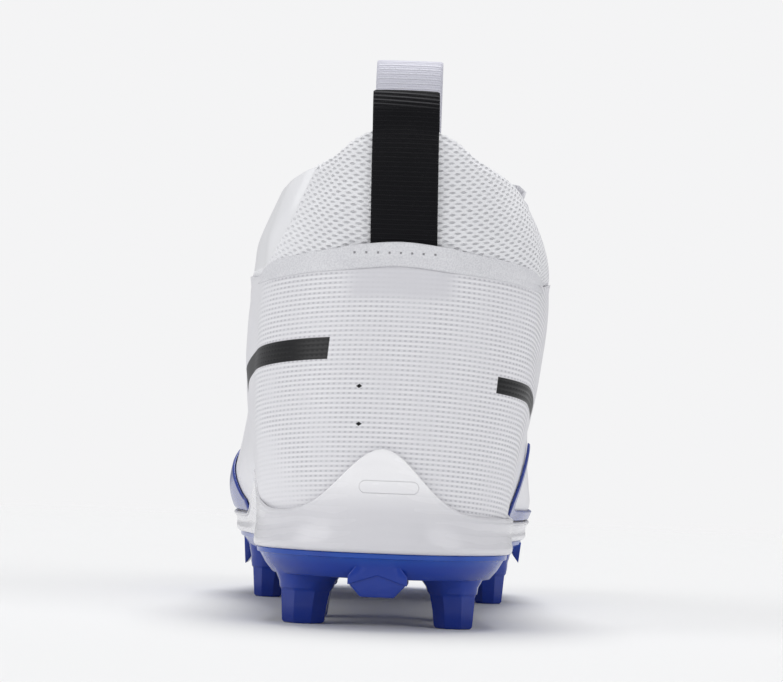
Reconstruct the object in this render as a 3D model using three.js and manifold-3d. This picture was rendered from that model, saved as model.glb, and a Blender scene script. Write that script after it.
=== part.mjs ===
import * as THREE from "three";
import { mergeVertices } from "three/addons/utils/BufferGeometryUtils.js";
import Module from "manifold-3d";

// A left football cleat with a padded mid-height collar, in millimetres. The toe points along +Y, the
// medial side along +X, and the stud tips stand on z = 0. While the shape is worked out, y is measured
// from the back of the heel and "at" is a walk round half of the outline, from heel back to toe tip.

const HEEL_CENTRE_Y = 36;
const TOE_CENTRE_Y = 236;
const HEEL_WALK = 40;
const TOE_WALK = 55;
const SIDE_WALK = TOE_CENTRE_Y - HEEL_CENTRE_Y;
const WALK_END = HEEL_WALK + SIDE_WALK + TOE_WALK;

const WALL = 2.0;
const GAP = 0.3;
const COLLAR_PUFF = 1.8;
const COLLAR_PAD = 3.6;
const COLLAR_RIM = 2.4;
const OVERLAY = 1.0;

const PLATE_TOP = 22.8;
const PLATE_INSET = 1.6;
const PLATE_EDGE_DROP = 1.9;
const PLATE_EDGE_SLOPE = 4.2;
const CHASSIS_BOTTOM = 23.2;
const CHASSIS_FLOOR = 24.2;
const CHASSIS_SIDE = 3.7;
const CHASSIS_LIP = 1.5;
const INSOLE_BOTTOM = 24.5;
const INSOLE_TOP = 28.6;
const SPUR_RISE = 19;
const SPUR_WIDTH = 15;

const TOE_SPRING_START = 188;
const TOE_SPRING_END = 292;
const TOE_SPRING = 9;
const HEEL_LEAN = 3.4;

const FOOT_Z = 24.6;
// Heights of the collar's rim, and the half widths of the ball of the foot, lateral and medial.
const RIM_BACK_Z = 152.4;
const RIM_SIDE_Z = 136.6;
const BALL_OUT = 54.6;
const BALL_IN = 53.4;

const LATERAL = -1;
const MEDIAL = 1;

// Sections of the upper's outer face. Each row has four points of one section, as a distance out from
// the centre line and a height: at the foot of the wall, the belly, the shoulder and the edge.
const SECTIONS = {
  [LATERAL]: [
    { at: 0, foot: 33.5, belly: 36, bellyZ: 50, shoulder: 33.2, shoulderZ: 111, edge: 30.5, edgeZ: RIM_BACK_Z },
    { at: 12, foot: 34.6, belly: 37.4, bellyZ: 50, shoulder: 35.7, shoulderZ: 109.5, edge: 31.3, edgeZ: 148.3 },
    { at: 20, foot: 35.2, belly: 38.2, bellyZ: 50, shoulder: 37.6, shoulderZ: 108.5, edge: 31.8, edgeZ: 142.4 },
    { at: 40, foot: 36.6, belly: 40.5, bellyZ: 50, shoulder: 43.4, shoulderZ: 106, edge: 35, edgeZ: RIM_SIDE_Z },
    { at: 64, foot: 36.4, belly: 44, bellyZ: 56, shoulder: 46.8, shoulderZ: 107, edge: 36.4, edgeZ: RIM_SIDE_Z },
    { at: 94, foot: 37, belly: 46.8, bellyZ: 60, shoulder: 45.8, shoulderZ: 109, edge: 31.5, edgeZ: 141 },
    { at: 124, foot: 39, belly: 48, bellyZ: 56, shoulder: 43, shoulderZ: 96, edge: 24, edgeZ: 118 },
    { at: 154, foot: 43, belly: 50.5, bellyZ: 48, shoulder: 42, shoulderZ: 78, edge: 19, edgeZ: 95 },
    { at: 184, foot: 48, belly: BALL_OUT - 0.6, bellyZ: 41, shoulder: 41, shoulderZ: 64, edge: 17, edgeZ: 77 },
    { at: 204, foot: 49.5, belly: BALL_OUT, bellyZ: 38, shoulder: 41, shoulderZ: 57, edge: 16, edgeZ: 67.5 },
    { at: 240, foot: 45.5, belly: 49, bellyZ: 35, shoulder: 37, shoulderZ: 49, edge: 15, edgeZ: 56.6 },
    { at: 267, foot: 44, belly: 47, bellyZ: 33, shoulder: 36, shoulderZ: 44, edge: 16, edgeZ: 53.4 },
    { at: WALK_END, foot: 50, belly: 53, bellyZ: 32, shoulder: 42, shoulderZ: 40.6, edge: 20, edgeZ: 51 },
  ],
  [MEDIAL]: [
    { at: 0, foot: 33.5, belly: 36, bellyZ: 50, shoulder: 33.2, shoulderZ: 111, edge: 30.5, edgeZ: RIM_BACK_Z },
    { at: 12, foot: 34.6, belly: 37.4, bellyZ: 50, shoulder: 35.7, shoulderZ: 109.5, edge: 31.3, edgeZ: 148.3 },
    { at: 20, foot: 35.2, belly: 38.2, bellyZ: 50, shoulder: 37.4, shoulderZ: 108.5, edge: 31.8, edgeZ: 142.4 },
    { at: 40, foot: 36.4, belly: 40, bellyZ: 50, shoulder: 42.8, shoulderZ: 106, edge: 34.4, edgeZ: RIM_SIDE_Z },
    { at: 64, foot: 35, belly: 43, bellyZ: 60, shoulder: 47.3, shoulderZ: 108, edge: 36.2, edgeZ: RIM_SIDE_Z },
    { at: 94, foot: 33, belly: 45.5, bellyZ: 64, shoulder: 48.6, shoulderZ: 109, edge: 35.5, edgeZ: 141 },
    { at: 124, foot: 34, belly: 47, bellyZ: 62, shoulder: 44.5, shoulderZ: 97, edge: 24, edgeZ: 118 },
    { at: 154, foot: 39, belly: 49.5, bellyZ: 52, shoulder: 41, shoulderZ: 79, edge: 19, edgeZ: 95 },
    { at: 184, foot: 46, belly: BALL_IN - 0.9, bellyZ: 41, shoulder: 40, shoulderZ: 65, edge: 17, edgeZ: 77 },
    { at: 204, foot: 48.5, belly: BALL_IN, bellyZ: 38, shoulder: 40, shoulderZ: 58, edge: 16, edgeZ: 67.5 },
    { at: 240, foot: 43.5, belly: 47, bellyZ: 35, shoulder: 36, shoulderZ: 49, edge: 15, edgeZ: 56.6 },
    { at: 267, foot: 45.5, belly: 48.6, bellyZ: 33, shoulder: 37.5, shoulderZ: 44, edge: 16, edgeZ: 53.4 },
    { at: WALK_END, foot: 50, belly: 53, bellyZ: 32, shoulder: 42, shoulderZ: 40.6, edge: 20, edgeZ: 51 },
  ],
};

// The crown is where the two sides meet over the vamp. Behind the throat it only guides the section.
const CROWN = [
  { at: 0, crownR: 27, crownZ: RIM_BACK_Z + 11.5 },
  { at: 64, crownR: 30, crownZ: RIM_SIDE_Z + 15 },
  { at: 94, crownR: 18, crownZ: 152 },
  { at: 124, crownR: 4, crownZ: 125 },
  { at: 154, crownR: 0, crownZ: 99.5 },
  { at: 184, crownR: 0, crownZ: 80.5 },
  { at: 204, crownR: 0, crownZ: 70 },
  { at: 240, crownR: 0, crownZ: 58.6 },
  { at: WALK_END, crownR: 0, crownZ: 58.6 },
];

// Along the section 0 is the foot, 1 the belly, 2 the shoulder, 3 the edge and 4 the crown.
const LEVEL = { foot: 0, shoulder: 2, edge: 3, crown: 4 };
const SEAM_GAP = 0.01;

// Where the form stops: at the rim and the throat edge, and in front at the crown.
const FORM_END = [
  { at: 0, level: LEVEL.edge },
  { at: 172, level: LEVEL.edge },
  { at: 176, level: 3.22 },
  { at: 178.5, level: 3.55 },
  { at: 180, level: LEVEL.crown },
  { at: WALK_END, level: LEVEL.crown },
];

// The seam between shell and collar, which climbs to the rim beside the ankle.
const COLLAR_SEAM = [
  { at: 0, level: LEVEL.shoulder },
  { at: 80, level: LEVEL.shoulder },
  { at: 92, level: LEVEL.crown },
];
const THROAT_FRONT = 180;
const COLLAR_FRONT = 84;

// The centre line seen from above.
const CENTRE_LINE = [
  { y: 36, x: 0 },
  { y: 90, x: -0.6 },
  { y: 130, x: -3 },
  { y: 170, x: -5.4 },
  { y: 205, x: -6 },
  { y: 236, x: -4 },
];

// Top edge of the white chassis, before the pointed spur is added at the back of the heel.
const CHASSIS_EDGE = {
  [LATERAL]: [
    { at: 0, z: 35 },
    { at: 24, z: 34.6 },
    { at: 34, z: 37.2 },
    { at: 42, z: 41.5 },
    { at: 54, z: 45 },
    { at: 80, z: 46 },
    { at: 124, z: 38 },
    { at: 160, z: 30 },
    { at: WALK_END, z: 30 },
  ],
  [MEDIAL]: [
    { at: 0, z: 35 },
    { at: 40, z: 34 },
    { at: 92, z: 34.5 },
    { at: 130, z: 34.5 },
    { at: 170, z: 30 },
    { at: WALK_END, z: 30 },
  ],
};

// Underside of the blue plate along the shoe.
const PLATE_BOTTOM = [
  { y: 0, z: 15 },
  { y: 50, z: 15 },
  { y: 76, z: 17.6 },
  { y: 130, z: 18 },
  { y: 175, z: 16.6 },
  { y: 292, z: 17.2 },
];

// Studs, each a tapered round post. "out" moves the foot of the post towards the plate's edge.
const STUDS = [
  { x: -23, y: 27, baseR: 13.4, tipR: 6.7, out: 2.4, tipZ: 0 },
  { x: 22.8, y: 27, baseR: 13.4, tipR: 6.1, out: 2.4, tipZ: 0 },
  { x: -23.5, y: 63, baseR: 11, tipR: 6, out: 1.6, tipZ: 0 },
  { x: 22.5, y: 63, baseR: 11, tipR: 6, out: 1.6, tipZ: 0 },
  { x: -45, y: 172, baseR: 9, tipR: 5, out: 1.6, tipZ: 0 },
  { x: -42.5, y: 212, baseR: 9, tipR: 5, out: 1.6, tipZ: 0 },
  { x: -29, y: 247, baseR: 8.5, tipR: 5, out: 1.2, tipZ: 1.6 },
  { x: 33.5, y: 184, baseR: 9, tipR: 5, out: 1.6, tipZ: 0 },
  { x: 31, y: 222, baseR: 9, tipR: 5, out: 1.6, tipZ: 0 },
  { x: 17, y: 256, baseR: 8.5, tipR: 5, out: 1.2, tipZ: 2.4 },
  { x: -5, y: 197, baseR: 8, tipR: 4.6, out: 0, tipZ: 4 },
];

// Pointed edge blades beside the ball of the foot.
const BLADES = [
  { x: -54, y: 190, length: 16, tipZ: 11, side: LATERAL },
  { x: 43.6, y: 201, length: 14, tipZ: 14.5, side: MEDIAL },
];

// A low web that joins the rear studs across the heel.
const WEB = { y: 31, depth: 4, half: 22, lowZ: 13.6, endZ: 11.4 };

// The chevron lug under the middle of the heel's back edge.
const LUG = { y: 12, depth: 17, bottomZ: 9.6, bottomHalf: 5, lowZ: 13.5, half: 8.6, highZ: 15.8, topZ: 19.2, topHalf: 6.6 };

const LOOP_WIDTH = 20;
const LOOP_THICK = 1.5;
const LOOP_SHIFT = 0.8;
const LOOP_TILT = 0.023;
const HEEL_LOOP_FOOT = 112.6;
const HEEL_LOOP_TOP = 162;
const LOOP_FREE = [
  { back: 0.3, share: 0.4 },
  { back: 0.9, share: 0.75 },
  { back: 2, share: 0.94 },
  { back: 4, share: 1 },
  { back: 6, share: 0.94 },
  { back: 7.2, share: 0.75 },
  { back: 7.8, share: 0.35 },
];
const TONGUE_LOOP_WIDTH = 21.6;
const TONGUE_LOOP_X = 1.4;
const TONGUE_LOOP_TOP = 181.4;
const TONGUE_LOOP_OPEN = 1.35;

const EYELETS = [99, 112, 126, 140, 154, 167];
const EYELET_LEVEL = 2.72;
const LACE_WIDTH = 6;
const LACE_THICK = 1.7;

// Down the middle of the tongue, from its free top to its root under the vamp.
const TONGUE = [
  { y: 86.4, z: 151, half: 23, drop: 4.6, thick: 3.4 },
  { y: 91, z: 145.6, half: 28, drop: 6, thick: 5.2 },
  { y: 100, z: 135.4, half: 29, drop: 6.6, thick: 6 },
  { y: 108, z: 127.4, half: 29, drop: 7, thick: 6 },
  { y: 125, z: 113.6, half: 28, drop: 7.4, thick: 6 },
  { y: 145, z: 98.2, half: 27, drop: 7, thick: 5.4 },
  { y: 165, z: 84, half: 25, drop: 6.4, thick: 4.4 },
  { y: 180, z: 77, half: 22, drop: 5.8, thick: 3.2 },
  { y: 196, z: 69.3, half: 19, drop: 4.4, thick: 2.2 },
];

const COLOURS = {
  blue: 0x2a3fb0,
  white: 0xe9e9ec,
  textile: 0xe4e4e7,
  mesh: 0xdcdde0,
  black: 0x17171a,
  webbing: 0xdfe0ee,
  lining: 0xc9cacf,
};

const wasm = await Module();
wasm.setup();

// A smooth value between the rows of a table that never runs past its neighbours.
function along(rows, key, at, column) {
  const last = rows.length - 1;
  if (at <= rows[0][key]) return rows[0][column];
  if (at >= rows[last][key]) return rows[last][column];
  const k = rows.findIndex((row) => row[key] > at) - 1;
  const step = (i) => rows[i + 1][key] - rows[i][key];
  const slope = (i) => (rows[i + 1][column] - rows[i][column]) / step(i);
  const tangent = (i) => {
    if (i === 0 || i === last) return 0;
    const before = slope(i - 1);
    const after = slope(i);
    if (before * after <= 0) return 0;
    return (2 * before * after) / (before + after);
  };
  const h = step(k);
  const t = (at - rows[k][key]) / h;
  const a = rows[k][column];
  const b = rows[k + 1][column];
  const rise = t * t * (3 - 2 * t);
  return a + (b - a) * rise + h * (t * (1 - t) * ((1 - t) * tangent(k) - t * tangent(k + 1)));
}

const clamp01 = (v) => Math.min(1, Math.max(0, v));
const smooth = (v) => clamp01(v) ** 2 * (3 - 2 * clamp01(v));
const spread = (from, to, count) =>
  Array.from({ length: count + 1 }, (_, i) => from + ((to - from) * i) / count);

// Where a station stands: its centre and the direction in which distances are measured.
function station(at, side) {
  if (at <= HEEL_WALK) {
    const turn = (at / HEEL_WALK) * (Math.PI / 2);
    return { x: 0, y: HEEL_CENTRE_Y, dx: side * Math.sin(turn), dy: -Math.cos(turn) };
  }
  if (at <= HEEL_WALK + SIDE_WALK) {
    const y = HEEL_CENTRE_Y + at - HEEL_WALK;
    return { x: along(CENTRE_LINE, "y", y, "x"), y, dx: side, dy: 0 };
  }
  const turn = ((at - HEEL_WALK - SIDE_WALK) / TOE_WALK) * (Math.PI / 2);
  const x = along(CENTRE_LINE, "y", TOE_CENTRE_Y, "x");
  return { x, y: TOE_CENTRE_Y, dx: side * Math.cos(turn), dy: Math.sin(turn) };
}

const toeSpring = (y) =>
  TOE_SPRING * Math.max(0, (y - TOE_SPRING_START) / (TOE_SPRING_END - TOE_SPRING_START)) ** 1.9;

// The back of the heel leans a little to the medial side as it rises.
const lean = (at, z) => HEEL_LEAN * smooth((z - 40) / 70) * (1 - smooth((at - 20) / 80));

function place(at, side, r, z) {
  const s = station(at, side);
  const y = s.y + s.dy * r;
  return [s.x + s.dx * r + lean(at, z), y, z + toeSpring(y)];
}

// One section as five points, the last mirrored over the centre so that the crown is level.
function controls(at, side) {
  const rows = SECTIONS[side];
  const value = (column) => along(rows, "at", at, column);
  const crown = [along(CROWN, "at", at, "crownR"), along(CROWN, "at", at, "crownZ")];
  const edge = [value("edge"), value("edgeZ")];
  return [
    [value("foot"), FOOT_Z],
    [value("belly"), value("bellyZ")],
    [value("shoulder"), value("shoulderZ")],
    edge,
    crown,
    [2 * crown[0] - edge[0], edge[1]],
  ];
}

// A point of the section and its outward direction.
function sectionPoint(at, side, level) {
  const points = controls(at, side);
  const k = Math.min(LEVEL.crown - 1, Math.floor(level));
  const t = level - k;
  const p1 = points[k];
  const p2 = points[k + 1];
  const p0 = k > 0 ? points[k - 1] : [p1[0] - (p2[0] - p1[0]) * 1.6, p1[1] * 2 - p2[1]];
  const p3 = points[k + 2];
  const knot = (a, b) => Math.hypot(b[0] - a[0], b[1] - a[1]) ** 0.5 + 1e-6;
  const d0 = knot(p0, p1);
  const d1 = knot(p1, p2);
  const d2 = knot(p2, p3);
  const tangent = (a, b, c, da, db) =>
    [0, 1].map((i) => ((b[i] - a[i]) / da - (c[i] - a[i]) / (da + db) + (c[i] - b[i]) / db) * d1);
  const m1 = tangent(p0, p1, p2, d0, d1);
  const m2 = tangent(p1, p2, p3, d1, d2);
  const spot = [0, 1].map(
    (i) =>
      (2 * t ** 3 - 3 * t ** 2 + 1) * p1[i] +
      (t ** 3 - 2 * t ** 2 + t) * m1[i] +
      (3 * t ** 2 - 2 * t ** 3) * p2[i] +
      (t ** 3 - t ** 2) * m2[i],
  );
  const rise = [0, 1].map(
    (i) =>
      (6 * t ** 2 - 6 * t) * p1[i] +
      (3 * t ** 2 - 4 * t + 1) * m1[i] +
      (6 * t - 6 * t ** 2) * p2[i] +
      (3 * t ** 2 - 2 * t) * m2[i],
  );
  const size = Math.hypot(rise[0], rise[1]);
  return { r: spot[0], z: spot[1], nr: rise[1] / size, nz: -rise[0] / size };
}

// A point of the upper's form, moved out by a distance.
function formPoint(at, side, level, out) {
  const p = sectionPoint(at, side, level);
  const r = level >= LEVEL.crown ? 0 : p.r + p.nr * out;
  return [Math.max(0, r), p.z + p.nz * out];
}

// How far out the upper's outer face is at a height near its foot.
function radiusAt(at, side, z) {
  let low = LEVEL.foot;
  let high = LEVEL.shoulder;
  if (z <= sectionPoint(at, side, LEVEL.foot).z) return sectionPoint(at, side, LEVEL.foot).r;
  for (let i = 0; i < 24; i++) {
    const middle = (low + high) / 2;
    if (sectionPoint(at, side, middle).z < z) low = middle;
    else high = middle;
  }
  return sectionPoint(at, side, low).r;
}

function solidFromTriangles(positions, triangles) {
  const loose = new THREE.BufferGeometry();
  loose.setAttribute("position", new THREE.Float32BufferAttribute(positions.flat(), 3));
  loose.setIndex(triangles.flat());
  const merged = mergeVertices(loose, 1e-3);
  const index = merged.index.array;
  const kept = [];
  for (let i = 0; i < index.length; i += 3) {
    const [a, b, c] = [index[i], index[i + 1], index[i + 2]];
    if (a !== b && b !== c && a !== c) kept.push(a, b, c);
  }
  return new wasm.Manifold(
    new wasm.Mesh({
      numProp: 3,
      vertProperties: new Float32Array(merged.attributes.position.array),
      triVerts: new Uint32Array(kept),
    }),
  );
}

function quads(rows, columns, indexOf, wrapRows, wrapColumns, skip) {
  const triangles = [];
  for (let i = 0; i < (wrapRows ? rows : rows - 1); i++) {
    for (let j = 0; j < (wrapColumns ? columns : columns - 1); j++) {
      if (skip && skip(i, j)) continue;
      const a = indexOf(i, j);
      const b = indexOf((i + 1) % rows, j);
      const c = indexOf((i + 1) % rows, (j + 1) % columns);
      const d = indexOf(i, (j + 1) % columns);
      triangles.push([a, b, c], [a, c, d]);
    }
  }
  return triangles;
}

// The stations of one side, closer together where the outline or an edge turns.
const WALK = [
  0, 3, 7, 12, 18, 24, 30, 37, 46, 56, 68, 80, 84, 88, 94, 104, 115, 126, 136, 142, 148, 154, 162, 172,
  176, 178.5, 180, 188, 199, 212, 226, 240, 249, 258, 267, 276, 285, WALK_END,
];
const ROUND = [
  ...[...WALK].reverse().map((at) => ({ at, side: LATERAL })),
  ...WALK.slice(1, -1).map((at) => ({ at, side: MEDIAL })),
];

// All sheets share these lines up the section, so that their facets lie parallel.
const LOW_LINES = [0, 0.5, 1, 1.36, 1.7, LEVEL.shoulder];
const HIGH_LINES = 5;
function levelLines(at) {
  const end = along(FORM_END, "at", at, "level");
  return [...LOW_LINES, ...spread(LEVEL.shoulder, end, HIGH_LINES).slice(1)];
}
const clampLines = (lines, low, high) => lines.map((level) => Math.min(high, Math.max(low, level)));

// A solid that goes all round the shoe. Its profile is a closed ring, or starts and ends on the centre.
function roundSolid(profileOf, closedProfile, skip) {
  const profiles = ROUND.map(({ at, side }) => profileOf(at, side));
  const columns = profiles[0].length;
  const positions = profiles.flatMap((profile, i) =>
    profile.map(([r, z]) => place(ROUND[i].at, ROUND[i].side, r, z)),
  );
  const indexOf = (i, j) => i * columns + j;
  return solidFromTriangles(
    positions,
    quads(ROUND.length, columns, indexOf, true, closedProfile, skip),
  );
}

// A solid between an outer and an inner sheet, over stations in walking order towards the medial toe.
function patchSolid(stops, outerOf, innerOf) {
  const outer = stops.map(({ at, side }) => outerOf(at, side).map(([r, z]) => place(at, side, r, z)));
  const inner = stops.map(({ at, side }) => innerOf(at, side).map(([r, z]) => place(at, side, r, z)));
  return sheetSolid(outer, inner);
}

function sheetSolid(outer, inner) {
  const rows = outer.length;
  const columns = outer[0].length;
  const ring = outer.map((line, i) => [...line, ...[...inner[i]].reverse()]);
  const width = 2 * columns;
  const indexOf = (i, j) => i * width + j;
  const triangles = quads(rows, width, indexOf, false, true);
  for (let j = 0; j < columns - 1; j++) {
    const last = rows - 1;
    const across = (i, k) => indexOf(i, width - 1 - k);
    triangles.push([indexOf(0, j), indexOf(0, j + 1), across(0, j + 1)]);
    triangles.push([indexOf(0, j), across(0, j + 1), across(0, j)]);
    triangles.push([indexOf(last, j), across(last, j + 1), indexOf(last, j + 1)]);
    triangles.push([indexOf(last, j), across(last, j), across(last, j + 1)]);
  }
  return solidFromTriangles(ring.flat(), triangles);
}

const stopsBehind = (end) => ROUND.filter(({ at }) => at <= end);

// The upper: one thin shell, open at the collar, down the throat and underneath.
function makeUpper(swell = 0) {
  const profileOf = (at, side) => {
    const levels = clampLines(levelLines(at), LEVEL.foot, along(COLLAR_SEAM, "at", at, "level"));
    const outside = levels.map((level) => formPoint(at, side, level, swell));
    const inside = levels.map((level) => formPoint(at, side, level, -WALL));
    return [...outside, ...inside.reverse()];
  };
  const top = LOW_LINES.length + HIGH_LINES - 1;
  const closed = (i) => ROUND[i % ROUND.length].at >= THROAT_FRONT;
  const skip = (i, j) => j === top && closed(i) && closed(i + 1);
  return roundSolid(profileOf, true, skip);
}

// The padded collar, puffed out between its seam and its rolled rim.
function collarOut(at, side, level) {
  const share = clamp01((level - LEVEL.shoulder) / (LEVEL.edge - LEVEL.shoulder));
  const fade = side === LATERAL ? 1 - smooth((at - 13) / 10) : 1 - smooth((at - 58) / 20);
  const roll = clamp01((share - 0.9) / 0.1);
  const puff = COLLAR_PUFF * fade * Math.sin(Math.PI * share) ** 0.6;
  return puff - COLLAR_RIM * (1 - Math.sqrt(1 - 0.98 * roll * roll));
}

function collarIn(at, level) {
  const share = clamp01((level - LEVEL.shoulder) / (LEVEL.edge - LEVEL.shoulder));
  const fade = 1 - smooth((at - 62) / 26);
  const roll = clamp01((share - 0.9) / 0.1);
  const pad = COLLAR_PAD * fade * Math.sin(Math.PI * (0.08 + 0.8 * share)) ** 0.7;
  return -WALL - pad + 0.9 * COLLAR_RIM * fade * (1 - Math.sqrt(1 - 0.98 * roll * roll));
}

function makeCollar(swell = 0) {
  const lines = [2, 2.08, 2.2, 2.4, 2.6, 2.8, 2.9, 2.96, LEVEL.edge];
  const seamAt = (at) => along(COLLAR_SEAM, "at", at + 1.5 * GAP, "level") + SEAM_GAP;
  const levelsAt = (at) => clampLines(lines, seamAt(at), LEVEL.edge);
  const outerOf = (at, side) =>
    levelsAt(at).map((level) => formPoint(at, side, level, collarOut(at, side, level) + swell));
  const innerOf = (at, side) =>
    levelsAt(at).map((level) => formPoint(at, side, level, collarIn(at, level)));
  return patchSolid(stopsBehind(COLLAR_FRONT), outerOf, innerOf);
}

// The white chassis: a tray with a floor, a side wall round the foot and a pointed spur behind.
function chassisTop(at, side) {
  const spur = at <= HEEL_WALK ? ((at / HEEL_WALK) * (Math.PI / 2) * HEEL_CENTRE_Y) / SPUR_WIDTH : 4;
  return along(CHASSIS_EDGE[side], "at", at, "z") + SPUR_RISE * Math.exp(-spur * spur);
}

function makeChassis() {
  const profileOf = (at, side) => {
    const top = chassisTop(at, side);
    const inner = (z) => radiusAt(at, side, z) + GAP + 0.08;
    const face = (z) => {
      const share = clamp01((z - CHASSIS_FLOOR) / (top - CHASSIS_FLOOR));
      return inner(z) + CHASSIS_SIDE + (CHASSIS_LIP - CHASSIS_SIDE) * share ** 0.8;
    };
    const rise = spread(CHASSIS_FLOOR + 2.4, top - 1.1, 3);
    const fall = spread(top - 0.7, CHASSIS_FLOOR, 2);
    return [
      [0, CHASSIS_BOTTOM],
      [face(CHASSIS_FLOOR) - 1.5, CHASSIS_BOTTOM],
      [face(CHASSIS_FLOOR) - 0.3, CHASSIS_BOTTOM + 1.6],
      ...rise.map((z) => [face(z), z]),
      [inner(top) + CHASSIS_LIP * 0.55, top],
      ...fall.map((z) => [inner(z), z]),
      [0, CHASSIS_FLOOR],
    ];
  };
  return roundSolid(profileOf, false);
}

// The insole lies on the tray's floor inside the upper.
function makeInsole() {
  const profileOf = (at, side) => {
    const edge = (z) => radiusAt(at, side, z) - WALL - 0.55;
    return [
      [0, INSOLE_BOTTOM],
      [edge(INSOLE_BOTTOM), INSOLE_BOTTOM],
      [edge(INSOLE_TOP), INSOLE_TOP + 0.6],
      [edge(INSOLE_TOP) - 5, INSOLE_TOP - 0.6],
      [0, INSOLE_TOP - 0.8],
    ];
  };
  return roundSolid(profileOf, false);
}

// The main body of a cut solid, without crumbs.
function largest(solid) {
  return solid.decompose().reduce((best, body) => (body.volume() > best.volume() ? body : best));
}

function meshSolid(geometry, matrix) {
  const plain = geometry.clone();
  plain.deleteAttribute("normal");
  plain.deleteAttribute("uv");
  if (matrix) plain.applyMatrix4(matrix);
  const merged = mergeVertices(plain, 1e-3);
  return new wasm.Manifold(
    new wasm.Mesh({
      numProp: 3,
      vertProperties: new Float32Array(merged.attributes.position.array),
      triVerts: new Uint32Array(merged.index.array),
    }),
  );
}

// The blue outsole: a plate with a stepped edge, thicker under the heel, and its studs and lugs.
function makePlate() {
  const profileOf = (at, side) => {
    const s = station(at, side);
    const edge = radiusAt(at, side, CHASSIS_FLOOR) + GAP + CHASSIS_SIDE - PLATE_INSET - 0.3;
    const y = s.y + s.dy * edge;
    const low = along(PLATE_BOTTOM, "y", y, "z");
    const depth = PLATE_TOP - low;
    return [
      [0, along(PLATE_BOTTOM, "y", s.y, "z")],
      [edge - PLATE_EDGE_SLOPE * (depth / 6.6), low],
      [edge - 0.9, PLATE_TOP - PLATE_EDGE_DROP],
      [edge - 0.2, PLATE_TOP - PLATE_EDGE_DROP + 0.3],
      [edge, PLATE_TOP],
      [0, PLATE_TOP],
    ];
  };
  return roundSolid(profileOf, false);
}

function makeStud({ x, y, baseR, tipR, out, tipZ }) {
  const top = PLATE_TOP + toeSpring(y) - 1;
  const height = top - tipZ;
  const waist = tipR + 1.1;
  const profile = [
    new THREE.Vector2(0, 0),
    new THREE.Vector2(tipR, 0),
    new THREE.Vector2(waist, height * 0.46),
    new THREE.Vector2(waist + 1, height * 0.5),
    new THREE.Vector2((waist + baseR) / 2 + 0.6, height * 0.74),
    new THREE.Vector2(baseR, height),
    new THREE.Vector2(0, height),
  ];
  const post = new THREE.LatheGeometry(profile, 10);
  post.rotateX(Math.PI / 2);
  const position = post.attributes.position;
  for (let i = 0; i < position.count; i++) {
    const z = position.getZ(i);
    const share = clamp01(z / height);
    position.setX(i, x + position.getX(i) - Math.sign(x) * out * share ** 2);
    position.setY(i, y + position.getY(i) + 0.6 * share);
    position.setZ(i, tipZ + z);
  }
  return meshSolid(post);
}

function extruded(points, depth) {
  const shape = new THREE.Shape(points.map(([u, v]) => new THREE.Vector2(u, v)));
  return new THREE.ExtrudeGeometry(shape, { depth, bevelEnabled: false });
}

function makeBlade({ x, y, length, tipZ, side }) {
  const top = PLATE_TOP - 0.8;
  const outline = [
    [-3.4 * side, top],
    [-1.8 * side, tipZ + 3],
    [0.4 * side, tipZ],
    [1.2 * side, top],
  ];
  const blade = extruded(side > 0 ? outline : [...outline].reverse(), length);
  const turn = new THREE.Matrix4().makeRotationX(Math.PI / 2);
  turn.premultiply(new THREE.Matrix4().makeTranslation(x, y + length / 2, 0));
  return meshSolid(blade, turn);
}

function makeLug() {
  const { y, depth, bottomZ, bottomHalf, lowZ, half, highZ, topZ, topHalf } = LUG;
  const right = [
    [bottomHalf, bottomZ],
    [half, lowZ],
    [half, highZ],
    [topHalf, topZ],
  ];
  const left = right.map(([u, v]) => [-u, v]).reverse();
  const outline = [...right, ...left];
  const turn = new THREE.Matrix4().makeRotationX(Math.PI / 2);
  turn.premultiply(new THREE.Matrix4().makeTranslation(0, y + depth / 2, 0));
  return meshSolid(extruded(outline, depth), turn);
}

function makeWeb() {
  const { y, depth, half, lowZ, endZ } = WEB;
  const outline = [
    [-half, endZ],
    [-half * 0.55, lowZ],
    [half * 0.55, lowZ],
    [half, endZ],
    [half, PLATE_TOP - 4],
    [-half, PLATE_TOP - 4],
  ];
  const turn = new THREE.Matrix4().makeRotationX(Math.PI / 2);
  turn.premultiply(new THREE.Matrix4().makeTranslation(0, y + depth / 2, 0));
  return meshSolid(extruded(outline, depth), turn);
}

function makeOutsole() {
  const pieces = [...STUDS.map(makeStud), ...BLADES.map(makeBlade), makeLug(), makeWeb()];
  return pieces.reduce((whole, piece) => whole.add(piece), makePlate());
}

// The room that upper and collar take with a gap round them, cut out of whatever lies on them.
const room = makeUpper(GAP).add(makeCollar(GAP));

// A smooth panel beside the throat. On the lateral side it also runs back over the collar.
const PANEL_LOW = {
  [LATERAL]: [
    { at: 24, level: 2.9 },
    { at: 30, level: 2.35 },
    { at: 37, level: 2.03 },
    { at: 92, level: 2.0 },
    { at: 110, level: 2.12 },
    { at: 132, level: 2.35 },
    { at: 172, level: 2.35 },
  ],
  [MEDIAL]: [
    { at: 88, level: 2.7 },
    { at: 95, level: 2.35 },
    { at: 110, level: 2.3 },
    { at: 132, level: 2.35 },
    { at: 172, level: 2.35 },
  ],
};

function makePanel(side) {
  const rows = PANEL_LOW[side];
  const first = rows[0].at;
  const last = rows[rows.length - 1].at;
  const stops = ROUND.filter((stop) => stop.side === side && stop.at >= first && stop.at <= last);
  const levelsAt = (at) => clampLines(levelLines(at), along(rows, "at", at, "level"), LEVEL.edge - 0.05);
  const sheet = (out) => (at) => levelsAt(at).map((level) => formPoint(at, side, level, out));
  return largest(patchSolid(stops, sheet(GAP + OVERLAY), sheet(0.12)).subtract(room));
}

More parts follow.
